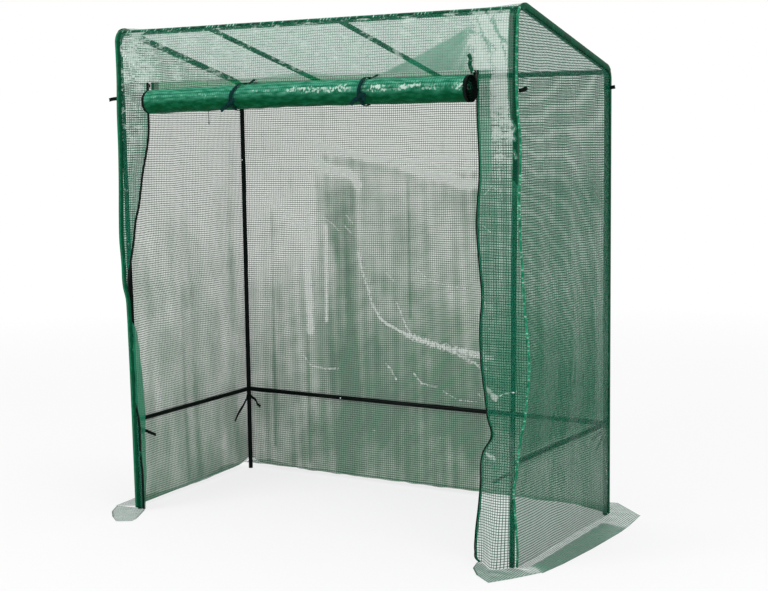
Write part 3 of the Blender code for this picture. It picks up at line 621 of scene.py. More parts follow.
def rear_look(x, y, z):
    left = through(
        ((0.0, 0.34), (0.25, 0.28), (0.45, 0.42), (0.60, 0.50), (0.85, 0.76), (1.0, 0.88), (1.3, 1.0)), z
    )
    right = through((
        (0.0, 0.24), (0.25, 0.10), (0.45, 0.12), (0.60, 0.28), (0.80, 0.50), (1.0, 0.55), (1.12, 0.60),
        (1.2, 0.9), (1.3, 1.0),
    ), z)
    pale = left + (right - left) * ramp(x, -0.47, -0.37)
    column = through(((0.0, -0.345), (0.85, -0.345), (1.02, -0.405), (1.3, -0.420)), z)
    pale = pale - 0.30 * between(x, column, -0.253, 0.030) * between(z, -1.0, 1.12, 0.10)
    pale = pale - 0.14 * between(x, -0.198, -0.149, 0.020) * between(z, 0.32, 0.60, 0.08)
    # Painted shade: darker lines, most of them along the upright folds
    pale = pale - 0.30 * lines(x, z, (
        (6, 1.0, (-29, 1159), (-28, 630)),
        (6, 1.0, (-626, 1070), (-630, 100)),
        (6, 0.8, (-470, 620), (-468, 50)),
        (10, 0.7, (-150, 140), (-90, 250), (-50, 310)),
        (26, 1.0, (-400, 1203), (-250, 1195), (-120, 1172), (-20, 1150)),
    ))
    # Painted highlights: pale sweeping bands and streaks, which also carry extra glare
    bright = lines(x, z, (
        (13, 1.0, (-420, 1255), (-296, 1231), (-173, 1208), (-28, 1196), (64, 1201), (241, 1212)),
        (16, 1.0, (-421, 1202), (-351, 1162), (-275, 1156), (-235, 1109)),
        (16, 1.0, (-41, 1173), (64, 1151), (140, 1140), (190, 1118), (280, 1118)),
        (8, 0.8, (114, 1162), (241, 1173)),
        (30, 0.6, (-699, 1106), (-583, 1023), (-498, 953), (-456, 906)),
        (14, 0.9, (-458, 997), (-463, 811), (-457, 560)),
        (6, 0.9, (-383, 957), (-388, 599)),
    ))
    upright = swell(x, 0.08 * z, 0.055, 7)
    pale = pale + 0.60 * bright + 0.30 * (upright - 0.5) + uneven(x, z, 0.10, 8, 0.14)
    glare = 0.16 + uneven(x, z, 0.10, 12, 0.40) + 1.00 * bright
    return pale, lines(x, z, REAR_WHITE_CREASES_AND_GLINTS), 0.0, glare


shaded_film = film_finish(
    "shaded_film", (0.034, 0.220, 0.100), (0.36, 0.51, 0.33), (0.86, 0.32, 0.97), (0.009, 0.050, 0.022),
    (0.0016, 0.0022),
)
rear = film_panel(
    "rear_film", rear_shape, (1.503, 1.492), shaded_film, rear_look, cell=0.0054, inward=True, woven=(0, 2)
)
sew_on(rear, "film", "cover_rear_wall")


# The side walls follow the slope of the roof. Each is sewn to the rear wall and to a front flap,
# and the front corner's seam of the right one bows out, where the film is too long for its post.
def left_foot(y):
    """The left wall's foot rises towards the rear."""
    return 0.018 + 0.017 * y + 0.016 * hump(y, 0.353, 0.05)


def side_shape(side):
    def shape(u, v):
        y, top = over_gable(u, 0.0, OFF_TUBE - 0.0013)
        back = (y + END_FILM) / (2 * END_FILM)
        foot = WALL_FOOT if side > 0 else left_foot(y)
        z = foot + (top - foot) * v
        front, free = corner_film(side, z), loose(back, v)
        stand = front + (SIDE_FILM - front) * back + drape(back, v, 3, 0.8 * side)
        stand = stand + 0.003 * free * (swell(y, z, 0.10, 11 + side) + swell(y, 0.3 * z, 0.05, 14 + side))
        return side * stand, y, z

    return shape


def left_wall_look(x, y, z):
    pale = through(((0.0, 0.22), (0.10, 0.30), (0.30, 0.42), (0.75, 0.60), (1.10, 0.86), (1.60, 1.0)), z)
    for place, width, depth, height in (
        (-0.04, 0.012, 0.18, 0.9), (0.03, 0.018, 0.20, 1.1), (0.27, 0.020, 0.18, 1.5)
    ):
        pale = pale - depth * hump(y, place, width) * ramp(z, height, height - 0.3)
    pale = pale + uneven(y, 0.15 * z, 0.06, 21, 0.24) + 0.08 * ramp(z, 1.0, 1.3)
    hem = ramp(z - left_foot(y), 0.012, 0.009)
    return pale, 0.0, 0.75 * hem, 0.15 + uneven(y, z, 0.12, 24, 0.3)


def right_wall_look(x, y, z):
    clear = through((
        (0.0, 0.35), (0.20, 0.30), (0.32, 0.30), (0.36, 0.15), (0.60, 0.15), (0.90, 0.50), (1.20, 0.65),
        (1.60, 0.85),
    ), z)
    clear = clear + uneven(y, 0.12 * z, 0.07, 22, 0.30)
    crease = lines(y, z, ((5, 0.9, (310, 250), (325, 180), (335, 100)),))
    # Painted highlights: pale streaks down the upper wall, clearer and with more glare
    streaks = lines(y, z, (
        (6, 0.8, (-240, 1560), (-180, 1430), (-100, 1220)),
        (6, 0.8, (-20, 1500), (60, 1380), (120, 1200)),
        (5, 0.7, (-280, 1360), (-200, 1200), (-140, 1020)),
    ))
    glare = 0.18 + uneven(y, z, 0.12, 25, 0.4) + 0.45 * streaks
    dense = ramp(z + 0.28 * (y + 0.35), 0.235, 0.205)
    milky = ramp(z, 0.36, 0.3) * (0.28 + uneven(y, 0.2 * z, 0.05, 26, 0.2)) * (1 - dense)
    # The film lies closer to the ring's bar, which shows more clearly than what is farther behind
    near = lines(y, z, ((15, 1.0, (-400, 324), (330, 324)),))
    clear = clear + 0.3 * streaks - 0.35 * dense + 0.8 * near
    return clear, crease, 0.0, glare * (1 - near), milky * (1 - near)


# The film again, painted darker and greener for the right wall, standing in for its slanted view and the
# lesser light on it from the front
outer_film = film_finish(
    "outer_film", (0.002, 0.165, 0.082), (0.012, 0.300, 0.165), (0.58, 0.24, 0.96), (0.001, 0.068, 0.034),
    (0.0014, 0.0028),
)
for side, where, finish, look, area in (
    (-1, "left", shaded_film, left_wall_look, 1.107), (1, "right", outer_film, right_wall_look, 1.119)
):
    side_wall = film_panel(
        f"{where}_wall_film", side_shape(side), (0.755, 1.575), finish, look, cell=0.007, inward=side < 0,
        woven=(1, 2),
    )
    sew_on(side_wall, "film", f"cover_{where}_wall")


# A front flap hangs on each side of the door, from the header to the ground. Its free edge carries
# one half of the door's zip, and the right flap's foot swings forward over the skirt.
LEFT_EDGE = (
    (0.0, -0.691), (0.10, -0.691), (0.144, -0.692), (0.18, -0.696), (0.25, -0.698), (0.313, -0.699),
    (0.337, -0.703), (0.361, -0.709), (0.40, -0.719), (0.46, -0.7215), (0.70, -0.7225), (0.74, -0.7255),
    (0.81, -0.7255), (0.863, -0.714), (0.947, -0.695), (1.015, -0.683), (1.063, -0.668), (1.118, -0.657),
    (1.175, -0.646), (1.219, -0.634), (1.263, -0.6225), (1.30, -0.616), (1.40, -0.613), (1.478, -0.612),
)
RIGHT_EDGE = (
    (0.0, 0.622), (0.012, 0.606), (0.036, 0.602), (0.089, 0.604), (0.177, 0.615), (0.243, 0.622),
    (0.347, 0.632), (0.399, 0.660), (0.447, 0.648), (0.513, 0.639), (0.609, 0.627), (0.72, 0.623),
    (0.816, 0.630), (0.91, 0.622), (1.025, 0.614), (1.172, 0.624), (1.382, 0.618), (1.478, 0.619),
)
FLAP_EDGES = {-1: LEFT_EDGE, 1: RIGHT_EDGE}
# How far the film turns over past its zip, by height
CURLS = {
    -1: ((0.0, -0.003), (0.07, -0.008), (0.145, -0.015), (0.216, -0.020), (0.30, -0.022), (0.36, -0.033),
         (0.40, -0.042), (0.46, -0.0405), (0.53, -0.034), (0.60, -0.025), (0.642, -0.015), (0.67, 0.003),
         (0.70, 0.0035), (1.478, 0.0035)),
    1: ((0.0, 0.0035), (1.478, 0.0035)),
}
ZIP_TAPE, FLARE = 0.010, 0.047


def flare(side, x, height):
    """How far the foot of the right flap swings forward."""
    across = ramp(x, 0.632, 0.677) * ramp(x, 0.735, 0.695)
    return FLARE * across * ramp(height, 0.36, 0.0) ** 1.5 * (side > 0)


def flap_shape(side, proud=0.0, outer=None):
    """A flap from its turned edge to its corner seam, or a strip from its zip's line to outer."""

    def shape(u, v):
        z = WALL_FOOT + (HANGS_FROM - WALL_FOOT) * v
        edge = through(FLAP_EDGES[side], z)
        near = edge + (side * through(CURLS[side], z) if outer is None else 0.0)
        far = side * (corner_film(side, z) - 0.002) if outer is None else edge + side * outer
        x = far + (near - far) * u if side < 0 else near + (far - near) * u
        free = loose(u, v) if outer is None else 0.0
        rough = 0.006 * free * (swell(x, z, 0.07, 31 + side) - 0.4)
        return x, -END_FILM - flare(side, x, z) - rough - proud, z

    return shape


def right_flap_look(x, y, z):
    pale = through(
        ((0.0, 0.95), (0.25, 0.80), (0.42, 0.50), (0.75, 0.30), (1.05, 0.40), (1.30, 0.85), (1.478, 1.0)), z
    )
    pale = pale + uneven(x, z, 0.05, 33, 0.40) + uneven(x, z, 0.12, 34, 0.25)
    pale = pale + 0.7 * hump(x, 0.672, 0.009) * ramp(z, 1.18, 1.23)
    # Painted highlight: a pale patch near the flap's top, with more glare
    highlight_patch = np.exp(-(((x - 0.700) / 0.026) ** 2 + ((z - 1.420) / 0.058) ** 2) * 1.2)
    creases = lines(x, z, (
        (4, 0.9, (700, 1300), (690, 1200), (700, 1100)),
        (4, 0.9, (642, 1114), (668, 1141), (684, 1129)),
        (4, 0.9, (635, 1026), (661, 1006)),
        (5, 0.9, (620, 833), (640, 804), (650, 769)),
        (4, 0.8, (636, 759), (659, 716)),
        (4, 1.0, (680, 513), (703, 528), (747, 537)),
    ))
    # Painted glints on the crumples: paler, and with more glare
    crumple_glints = lines(x, z, (
        (12, 1.0, (648, 541), (676, 512)),
        (9, 0.9, (648, 342), (672, 328)),
        (5, 1.0, (729, 1325), (741, 1306), (730, 1290), (740, 1276)),
        (4, 0.9, (738, 1240), (746, 1222)),
        (4, 0.8, (736, 1150), (744, 1130)),
    ))
    in_from_edge = x - through(RIGHT_EDGE, z)
    strip = 0.70 * ramp(in_from_edge, 0.047, 0.044) * ramp(z, 0.90, 1.2)
    turned = ramp(in_from_edge, 0.009, 0.007)
    milky = 0.32 * ramp(z, 0.43, 0.38) * ramp(z, 0.17, 0.22)
    milky = milky + (0.22 + uneven(x, z, 0.05, 37, 0.25)) * ramp(z, 1.14, 1.26)
    glare = 0.15 + 0.60 * ramp(z, 1.10, 1.3) + uneven(x, z, 0.06, 36, 0.60)
    # The right post's painted shade, here too given as doubled film and broken by the painted crumple glints
    post_shade = post_shade_strip(x, z) * ramp(z, 1.05, 1.15)
    post_shade = post_shade * (1 - 0.8 * crumple_glints)
    doubled = np.maximum(np.maximum(strip, turned), post_shade)
    glare = (glare + 0.60 * highlight_patch + 0.85 * crumple_glints) * np.clip(1 - 0.8 * strip - turned - post_shade, 0, 1)
    pale = pale - 0.35 * ramp(z, 0.20, 0.15)
    return pale + highlight_patch + 0.5 * crumple_glints, creases, doubled, glare, milky * (1 - doubled)


def left_flap_look(x, y, z):
    pale = through(((0.0, 0.55), (0.25, 0.40), (0.5, 0.20), (1.0, 0.25), (1.25, 0.90), (1.478, 1.0)), z)
    in_from_edge = through(LEFT_EDGE, z) - x
    strip = 0.6 * ramp(in_from_edge, 0.027, 0.024) * ramp(z, 1.2, 1.25)
    turned = ramp(in_from_edge, 0.004, 0.002) - 0.16 * (in_from_edge < 0.001)
    glare = 0.30 + 0.25 * ramp(z, 1.2, 1.3) + uneven(x, z, 0.05, 37, 0.5)
    doubled = np.maximum(strip, turned)
    return pale + uneven(x, z, 0.06, 35, 0.4), 0.0, doubled, glare * (1 - 0.8 * doubled)


flap_film = film_finish(
    "flap_film", (0.008, 0.250, 0.140), (0.10, 0.46, 0.29), (0.44, 0.13, 0.95), (0.002, 0.080, 0.042),
    (0.0021, 0.0023),
)
for side, where, look, width, area in (
    (-1, "left", left_flap_look, 0.120, 0.098), (1, "right", right_flap_look, 0.180, 0.198)
):
    flap = film_panel(
        f"{where}_flap_film", flap_shape(side), (width - 0.05, 1.474), flap_film, look, cell=0.0045,
        woven=(0, 2),
    )
    sew_on(flap, "film", f"cover_{where}_flap")


# Where two panels meet, their edges are turned over together and sewn, which leaves a narrow dark
# green seam: along the roof's edges, down the four corners and under the header.
def hem_finish(name, deep, worn, pale, outer=None):
    """Folded film with its stitches, and another green for the folded edge and the leg round it."""
    finish = Finish(name)
    uv = finish.place("UV")
    along, across = finish.split(uv)
    patches = finish.noise(uv, 55.0, 4.0)
    stitch = finish.math("PINGPONG", finish.math("MULTIPLY_ADD", patches, 0.012, along), 0.0060)
    gaps = finish.math("MULTIPLY", finish.span(stitch, 0.0042, 0.0054), finish.span(patches, 0.48, 0.60))
    if outer:
        wavy = finish.math("MULTIPLY_ADD", patches, 0.0030, across)
        colour = finish.mix(finish.span(wavy, 0.0040, 0.0050), finish.mix(patches, deep, worn), outer)
    else:
        colour = finish.mix(gaps, finish.mix(finish.span(patches, 0.3, 0.7), deep, worn), pale)
    return finish.feed(
        Base_Color=colour,
        Roughness=finish.span(patches, 0.3, 0.7, 0.35, 0.55),
        Specular_IOR_Level=0.04,
        Normal=finish.bump(finish.math("ADD", patches, gaps), 0.0012),
    )


DEEP_SEAM, WORN_SEAM, PALE_SEAM = (0.0004, 0.035, 0.014), (0.003, 0.090, 0.042), (0.006, 0.120, 0.060)
turned_seam = hem_finish("turned_seam", DEEP_SEAM, WORN_SEAM, PALE_SEAM)
front_seam = hem_finish("front_seam", DEEP_SEAM, (0.010, 0.160, 0.085), (0.55, 0.70, 0.60))
broad_seam = hem_finish("broad_seam", DEEP_SEAM, WORN_SEAM, PALE_SEAM, (0.012, 0.170, 0.080))
green_seam = hem_finish("green_seam", (0.004, 0.140, 0.065), (0.030, 0.330, 0.180), (0.55, 0.72, 0.62))


def thicken(strip, modifier, thickness):
    """Gives a strip a body, half on each side."""
    wall = strip.modifiers.new(modifier, "SOLIDIFY")
    wall.thickness, wall.offset = thickness, 0.0
    return strip


def seam(name, line, length, widths, finish=turned_seam):
    """A strip folded over an edge. line(u) gives the edge's places and the two ways its legs lie."""

    def shape(u, v):
        places, first, second = ([np.broadcast_to(side, u.shape) for side in part] for part in line(u))
        near, far = ramp(v, 0.5, 0) * widths[0], ramp(v, 0.5, 1) * widths[1]
        return [place + a * near + b * far for place, a, b in zip(places, first, second)]

    strip = film_panel(name, shape, (length, 0.010), finish, cell=0.0045)
    return sew_on(thicken(strip, "turned_edge", 0.0007), "film")


def run_of(line, share):
    """The direction of a line, given as a function of its share, as y and z."""
    (ay, az), (by, bz) = line(share - 0.003), line(share + 0.003)
    length = np.hypot(by - ay, bz - az)
    return (by - ay) / length, (bz - az) / length


PROUD = OFF_TUBE + 0.0014
for front, row in ((True, "front"), (False, "rear")):
    end = -1 if front else 1

    def elbow(turned, front=front):
        return film_round(front, turned, PROUD)

    def beam_line(u, elbow=elbow, end=end):
        y, z = elbow(0.5)
        down, wobble = run_of(elbow, 0.42), uneven(u, 0 * u, 0.03, 71, 0.0010)
        back = (math.cos(TILT), -math.sin(TILT)) if end < 0 else (-math.cos(TILT), math.sin(TILT))
        return ((SIDE_FILM + 0.001) * (2 * u - 1) * end, y, z + wobble), (0, *back), (0, -down[0], -down[1])

    seam(f"seam_roof_{row}", beam_line, 1.508, (0.004, 0.011), front_seam if front else turned_seam)
    for side, where in ((-1, "left"), (1, "right")):

        def corner_line(u, side=side, end=end, front=front):
            def line(share):
                return up_to_seam(share, front, 0.042 if not front and side < 0 else 0.006, PROUD)

            share = u if side * end < 0 else 1 - u
            (y, z), (run_y, run_z) = line(share), run_of(line, share)
            stand = corner_film(side, z) if front else SIDE_FILM
            return (side * (stand + 0.0012), y, z), (-side, 0, 0), (0, -end * run_z, end * run_y)

        widths, finish = {
            "front_left": ((0.020, 0.012), broad_seam),
            "front_right": ((0.005, 0.005), green_seam),
            "rear_left": ((0.012, 0.010), turned_seam),
            "rear_right": ((0.022, 0.015), turned_seam),
        }[f"{row}_{where}"]
        seam(f"seam_corner_{row}_{where}", corner_line, 1.60, widths, finish)
for side, where in ((-1, "left"), (1, "right")):

    def gable_line(u, side=side):
        def line(share):
            return over_gable(share, WALL_TOP, PROUD)

        share = u if side < 0 else 1 - u
        (y, z), (run_y, run_z) = line(share), run_of(line, share)
        return (side * (SIDE_FILM + 0.0026), y, z), (-side, 0, 0), (0, run_z, -run_y)

    seam(f"seam_gable_{where}", gable_line, 0.730, (0.006, 0.019))


# Each half of the door's zip is a woven black tape, sewn behind the flap's edge, with a coil of
# nylon teeth along it.
def tape_finish(name="woven_tape", deep=(0.001, 0.004, 0.003), worn=(0.008, 0.016, 0.013)):
    finish = Finish(name)
    uv = finish.place("UV")
    place = finish.split(uv)
    ribs = [finish.math("PINGPONG", finish.math(way, *place), 0.0007) for way in ("ADD", "SUBTRACT")]
    weave = finish.span(finish.math("MAXIMUM", *ribs), 0.0002, 0.0007)
    wear = finish.noise(uv, 60.0, 4.0)
    return finish.feed(
        Base_Color=finish.mix(finish.math("MULTIPLY", weave, wear), deep, worn),
        Roughness=finish.span(wear, 0.3, 0.7, 0.6, 0.85),
        Specular_IOR_Level=0.06,
        Normal=finish.bump(weave, 0.0003),
    )


woven_tape = tape_finish()


def teeth_finish():
    finish = Finish("zip_teeth")
    along = finish.split(finish.place("UV"))[1]
    tooth = finish.span(finish.math("PINGPONG", along, 0.0008), 0.0002, 0.0006)
    return finish.feed(
        Base_Color=finish.mix(tooth, (0.001, 0.003, 0.002), (0.012, 0.018, 0.015)),
        Roughness=0.45,
        Specular_IOR_Level=0.10,
        Normal=finish.bump(tooth, 0.0006),
    )


zip_teeth = teeth_finish()
for side, where in ((-1, "left"), (1, "right")):
    tape = film_panel(
        f"flap_zip_tape_{where}", flap_shape(side, -0.0006 * side, ZIP_TAPE), (ZIP_TAPE, 1.473), woven_tape,
        cell=0.005,
    )
    sew_on(tape, "tape", f"zip_tape_{where}")

    def coil_shape(u, v, side=side):
        z = WALL_FOOT + (DOOR_SEAM_HEIGHT - 0.006 - WALL_FOOT) * v
        x, turned = through(FLAP_EDGES[side], z) + side * 0.0020, 2 * math.pi * u
        y = -END_FILM - flare(side, x, z) - 0.0004
        return x + 0.0020 * np.cos(turned), y - 0.0012 * np.sin(turned), z

    sew_on(film_panel(
        f"flap_zip_coil_{where}", coil_shape, (0.008, 1.470), zip_teeth, cell=0.0012, closed=True
    ), "tape")


# The skirt is the strip of film round the foot of the cover. It lies outwards on the ground, where
# soil or stones hold it down, and is slit at each front corner.
SKIRT_LIES = 0.0009  # how high a skirt lies on the ground


def level_foot(x, y):
    """The height of a panel's foot that is the same all along."""
    return WALL_FOOT + 0.0001 + 0 * x


def ruled(inner, outer, seed, lift=0.006, foot=level_foot):
    """A sheet on the ground between two lines of (x, y) points. It starts at the foot of a panel."""

    def shape(u, v):
        sides = []
        for points in (inner, outer):
            at = np.linspace(0, 1, len(points))
            sides.append([np.interp(u, at, [p[axis] for p in points]) for axis in (0, 1)])
        (ax, ay), (bx, by) = sides
        x, y = ax + (bx - ax) * v, ay + (by - ay) * v
        rise = lift * swell(x, y, 0.09, seed) * np.sin(math.pi * np.clip(v, 0, 1))
        return x, y, SKIRT_LIES + rise + (foot(ax, ay) - SKIRT_LIES) * (1 - v) ** 3

    return shape


def skirt_look(outer, band=0.0, thick=0.0):
    """A skirt has a hem along its outer line. In the band at the right it is doubled, and the front
    ones lie in folds all over, as thick as told."""

    def look(x, y, z):
        clear = 0.46 + uneven(x, y, 0.06, 41, 0.4)
        edge = [(1000 * px, 1000 * py) for px, py in outer]
        hem = lines(x, y, ((2.6, 0.95, *edge), (6, 1.3 * bool(thick), *edge[:3])))
        doubled = band * ramp(x, 0.774, 0.78) * ramp(y, 0.25, 0.21)
        # Painted highlight on the folded corner at the front right, where the skirt is not doubled
        corner = np.exp(-(((x - 0.79) / 0.025) ** 2) - ((y + 0.350) / 0.022) ** 2)
        laps = thick * (0.7 + 0.6 * swell(x, y, 0.05, 42))
        return clear, 0.0, np.maximum(hem, (doubled + laps) * (1 - corner)), 0.24 + 1.2 * corner

    return look


skirt_film = film_finish(
    "skirt_film", (0.008, 0.250, 0.140), (0.06, 0.42, 0.26), (0.40, 0.16, 0.94), (0.002, 0.080, 0.043),
    (0.0030, 0.0012),
)
foot, wall = corner_film(1, 0.0) - 0.001, SIDE_FILM - 0.001
skirts = {
    "left": (
        [(-post_x(0.0) - 0.010, -0.354), (-wall, 0.356)],
        [(-0.822, -0.357), (-0.836, -0.220), (-0.802, -0.080), (-0.794, 0.110), (-0.857, 0.310),
         (-0.846, 0.370)],
        (0.730, 0.085), 0.056, 0.0, lambda x, y: left_foot(y),
    ),
    "right": (
        [(wall, 0.356), (foot, -0.354)],
        [(0.852, 0.388), (0.866, 0.250), (0.869, 0.165), (0.865, 0.050), (0.860, -0.060), (0.845, -0.240),
         (0.828, -0.352)],
        (0.730, 0.105), 0.080, 0.88, level_foot,
    ),
    "rear": (
        [(-wall, 0.3545), (wall, 0.3545)],
        [(-0.838, 0.415), (-0.760, 0.500), (-0.640, 0.450), (-0.400, 0.444), (-0.100, 0.446), (0.160, 0.462),
         (0.450, 0.470), (0.724, 0.505), (0.850, 0.386)],
        (1.600, 0.110), 0.174, 0.0, lambda x, y: rear_foot(x),
    ),
}
for where, (inner, outer, size, area, band, start) in skirts.items():
    skirt = film_panel(
        f"{where}_skirt_film", ruled(inner, outer, 51, foot=start), size, skirt_film, skirt_look(outer, band),
        cell=0.005, inward=where != "rear", woven=(0, 1),
    )
    sew_on(skirt, "film", f"skirt_{where}")
flap_foot = [(x, -0.355 - float(flare(1, x, 0.004))) for x in np.linspace(0.616, 0.740, 9)]
front_skirts = {
    "left": (
        [(-post_x(0.0) - 0.012, -0.352), (-0.690, -0.354)],
        [(-0.818, -0.354), (-0.782, -0.422), (-0.735, -0.472), (-0.681, -0.514), (-0.637, -0.487),
         (-0.640, -0.459), (-0.668, -0.400), (-0.690, -0.356)],
        (0.170, 0.150), 0.0168, 0.26,
    ),
    "right": (
        flap_foot,
        [(0.612, -0.360), (0.624, -0.405), (0.664, -0.460), (0.728, -0.510), (0.769, -0.449), (0.800, -0.394),
         (0.822, -0.352)],
        (0.190, 0.130), 0.0167, 0.60,
    ),
}
for where, (inner, outer, size, area, thick) in front_skirts.items():
    skirt = film_panel(
        f"front_{where}_skirt_film", ruled(inner, outer, 52, 0.004), size, skirt_film,
        skirt_look(outer, thick=thick), cell=0.0045, inward=where == "right", woven=(0, 1),
    )
    sew_on(skirt, "film", f"skirt_front_{where}")


# The door is rolled up outwards under its header: eight and a half loose turns of the same film,
# with the black tapes of its zips wound in at both ends. The roll hangs a little lower at its left.
ROLL_LEFT, ROLL_RIGHT = -0.574, 0.629
ROLL_RADIUS, ROLL_PITCH, ROLL_TURNS = 0.042, 0.0042, 8.6
ROLL_Y, ROLL_HEIGHT, ROLL_DIP = -0.402, 1.4235, 0.0115
DOOR_TIES = (-0.207, 0.271)


def roll_height(x):
    return ROLL_HEIGHT - ROLL_DIP * ramp(x, 0.03, -0.57)


def roll_shape(start, end, deep=0.0):
    def shape(u, v):
        x = start + (end - start) * u
        angle = -2 * math.pi * ROLL_TURNS * v
        radius = ROLL_RADIUS - 0.0006 - ROLL_PITCH * ROLL_TURNS * v
        loose = 0.0022 * (swell(x, ROLL_RADIUS * angle, 0.09, 61) - 0.6)
        loose = loose + 0.0012 * (swell(0.4 * x, ROLL_RADIUS * angle, 0.03, 62) - 0.6)
        tied = sum(hump(x, tie, 0.022) for tie in DOOR_TIES)
        radius = radius + loose - 0.0018 * tied
        return x + deep * v, ROLL_Y + radius * np.cos(angle), roll_height(x) + radius * np.sin(angle)

    return shape


def roll_look(x, y, z):
    """How much light a place on the roll gets, with its glints along the upper front."""
    up = (z - roll_height(x)) / ROLL_RADIUS
    glints = hump(up, 0.25, 0.30) * (y < ROLL_Y)
    right = ramp(x, -0.15, 0.15)
    return np.clip(0.45 + 1.8 * up + 0.10 * right, 0, 1), 0.0, 0.0, glints * (0.55 + 0.85 * right)


def roll_finish():
    """Film in many layers, so that little light comes through: deep green, with the grid showing in the
    outer layer. Its upper side is painted in a lit green and its lower side in a shaded one, and pale
    glints are painted along its creases."""
    finish = Finish("rolled_film")
    uv = finish.place("UV")
    to_line = [finish.math("PINGPONG", value, GRID_PITCH / 2) for value in finish.split(uv)]
    threads = finish.span(finish.math("MINIMUM", *to_line), 0.0008, 0.0014, 1.0, 0.0)
    # Here clear carries the painted light, most on the roll's upper side, and glare carries its painted
    # glints
    upper, glint = [finish.node("Attribute", out=2, attribute_name=label) for label in ("clear", "glare")]
    patches = finish.noise(uv, 14.0, 5.0)
    long = finish.node("Mapping", {"Vector": uv, "Scale": (26.0, 120.0, 1.0)})
    streaks = finish.noise(long, 1.0, 5.0)
    flecks = finish.noise(uv, 150.0, 4.0)
    fine = finish.math("MULTIPLY_ADD", flecks, 0.6, finish.math("MULTIPLY", streaks, 0.4))
    limit = finish.math("MULTIPLY_ADD", glint, -0.20, 0.70)
    white = finish.span(fine, finish.math("SUBTRACT", limit, 0.03), finish.math("ADD", limit, 0.04))
    white = finish.math("MULTIPLY", white, finish.span(patches, 0.38, 0.60))
    # Painted light and shade: the lit green above, the shaded green below
    film = finish.mix(finish.span(streaks, 0.35, 0.70), (0.0001, 0.058, 0.018), (0.001, 0.095, 0.036))
    lit = finish.mix(finish.span(streaks, 0.30, 0.66), (0.012, 0.180, 0.095), (0.090, 0.400, 0.260))
    height = finish.math("MULTIPLY_ADD", streaks, 0.3, finish.math("SUBTRACT", upper, 0.15))
    dark = finish.math("MULTIPLY", threads, finish.math("MULTIPLY", upper, 0.75))
    colour = finish.mix(dark, finish.mix(height, film, lit), (0.002, 0.085, 0.040))
    return finish.feed(
        Base_Color=finish.mix(finish.math("MULTIPLY", white, 0.75), colour, (0.66, 0.82, 0.74)),
        Roughness=finish.span(patches, 0.3, 0.7, 0.22, 0.36),
        Specular_IOR_Level=0.02,
        Normal=finish.bump(patches, 0.003, finish.bump(streaks, 0.004)),
    )


rolled_film = roll_finish()
length = 2 * math.pi * ROLL_TURNS * (ROLL_RADIUS - ROLL_PITCH * ROLL_TURNS / 2)
roll = film_panel(
    "door_film_roll", roll_shape(ROLL_LEFT + 0.009, ROLL_RIGHT - 0.009),
    (ROLL_RIGHT - ROLL_LEFT - 0.018, length), rolled_film, roll_look, cell=0.007,
)
sew_on(roll, "film", "door_roll", body="door")
for where, start, end, deep in (
    ("left", ROLL_LEFT, ROLL_LEFT + 0.010, 0.010), ("right", ROLL_RIGHT - 0.010, ROLL_RIGHT, -0.010)
):
    band = film_panel(
        f"rolled_zip_tape_{where}", roll_shape(start, end, deep), (0.010, length), woven_tape, cell=0.0045
    )
    sew_on(band, "tape", body="door")


# Between the header's seam and the back of the roll a short stretch of the door hangs free. It is
# the part that grows as the door comes down.
DOOR_LEFT, DOOR_RIGHT, CURTAIN_FOOT = -0.601, 0.609, 1.422


def curtain_shape(start, end, proud=0.0):
    def shape(u, v):
        x = start + (end - start) * u
        z = CURTAIN_FOOT + (HANGS_FROM - CURTAIN_FOOT) * v
        return x, -END_FILM - 0.0018 - 0.0016 * (1 - v) - proud, z

    return shape


def curtain_look(x, y, z):
    return 0.4, 0.0, 0.95 * ramp(x, -0.566, -0.568), 0.2


door_film = film_finish(
    "door_film", (0.025, 0.36, 0.14), (0.07, 0.58, 0.27), (0.70, 0.50, 0.80), (0.004, 0.080, 0.040),
    laid="Object",
)
curtain = film_panel(
    "door_film_curtain", curtain_shape(DOOR_LEFT, DOOR_RIGHT), (1.210, 0.055), door_film, curtain_look,
    cell=0.0035,
)
tapes = [
    film_panel(
        f"door_zip_tape_{where}", curtain_shape(start, start + ZIP_TAPE, -0.0008), (ZIP_TAPE, 0.055),
        woven_tape, cell=0.0025,
    )
    for where, start in (("left", DOOR_LEFT + 0.001), ("right", DOOR_RIGHT))
]
for piece in (curtain, *tapes):
    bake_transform(piece)
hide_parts("door_curtain")


# Two woven tapes are sewn into the door's seam. Each goes over the roll, round it and back up, and
# is tied on its front with loose ends.
def along_path(points, u):
    """A smooth way through points in space, read at an array of shares of it."""
    at = np.linspace(0, 1, len(points))
    return np.stack([through(list(zip(at, [p[axis] for p in points])), u) for axis in (0, 1, 2)], axis=1)


def ribbon(name, points, width, across, finish, thickness=0.0011, cell=0.003):
    """A flat tape along a way through points, whose width lies across."""
    length = sum((Vector(a) - Vector(b)).length for a, b in zip(points, points[1:]))

    def shape(u, v):
        centre = along_path(points, u)
        course = along_path(points, np.clip(u + 0.01, 0, 1)) - along_path(points, np.clip(u - 0.01, 0, 1))
        course /= np.linalg.norm(course, axis=1)[:, None]
        side = np.array(across, float) - course * (course @ np.array(across, float))[:, None]
        side /= np.linalg.norm(side, axis=1)[:, None]
        bow = 0.0006 * np.sin(math.pi * v)[:, None] * np.cross(course, side)
        return (centre + side * ((v - 0.5) * width)[:, None] + bow).T

    return thicken(film_panel(name, shape, (length, width), finish, cell=cell), "tape", thickness)


def joined(name, parts):
    """Several parts sewn into one piece."""
    with bpy.context.temp_override(active_object=parts[0], selected_editable_objects=parts):
        bpy.ops.object.join()
    parts[0].name = parts[0].data.name = name
    return parts[0]


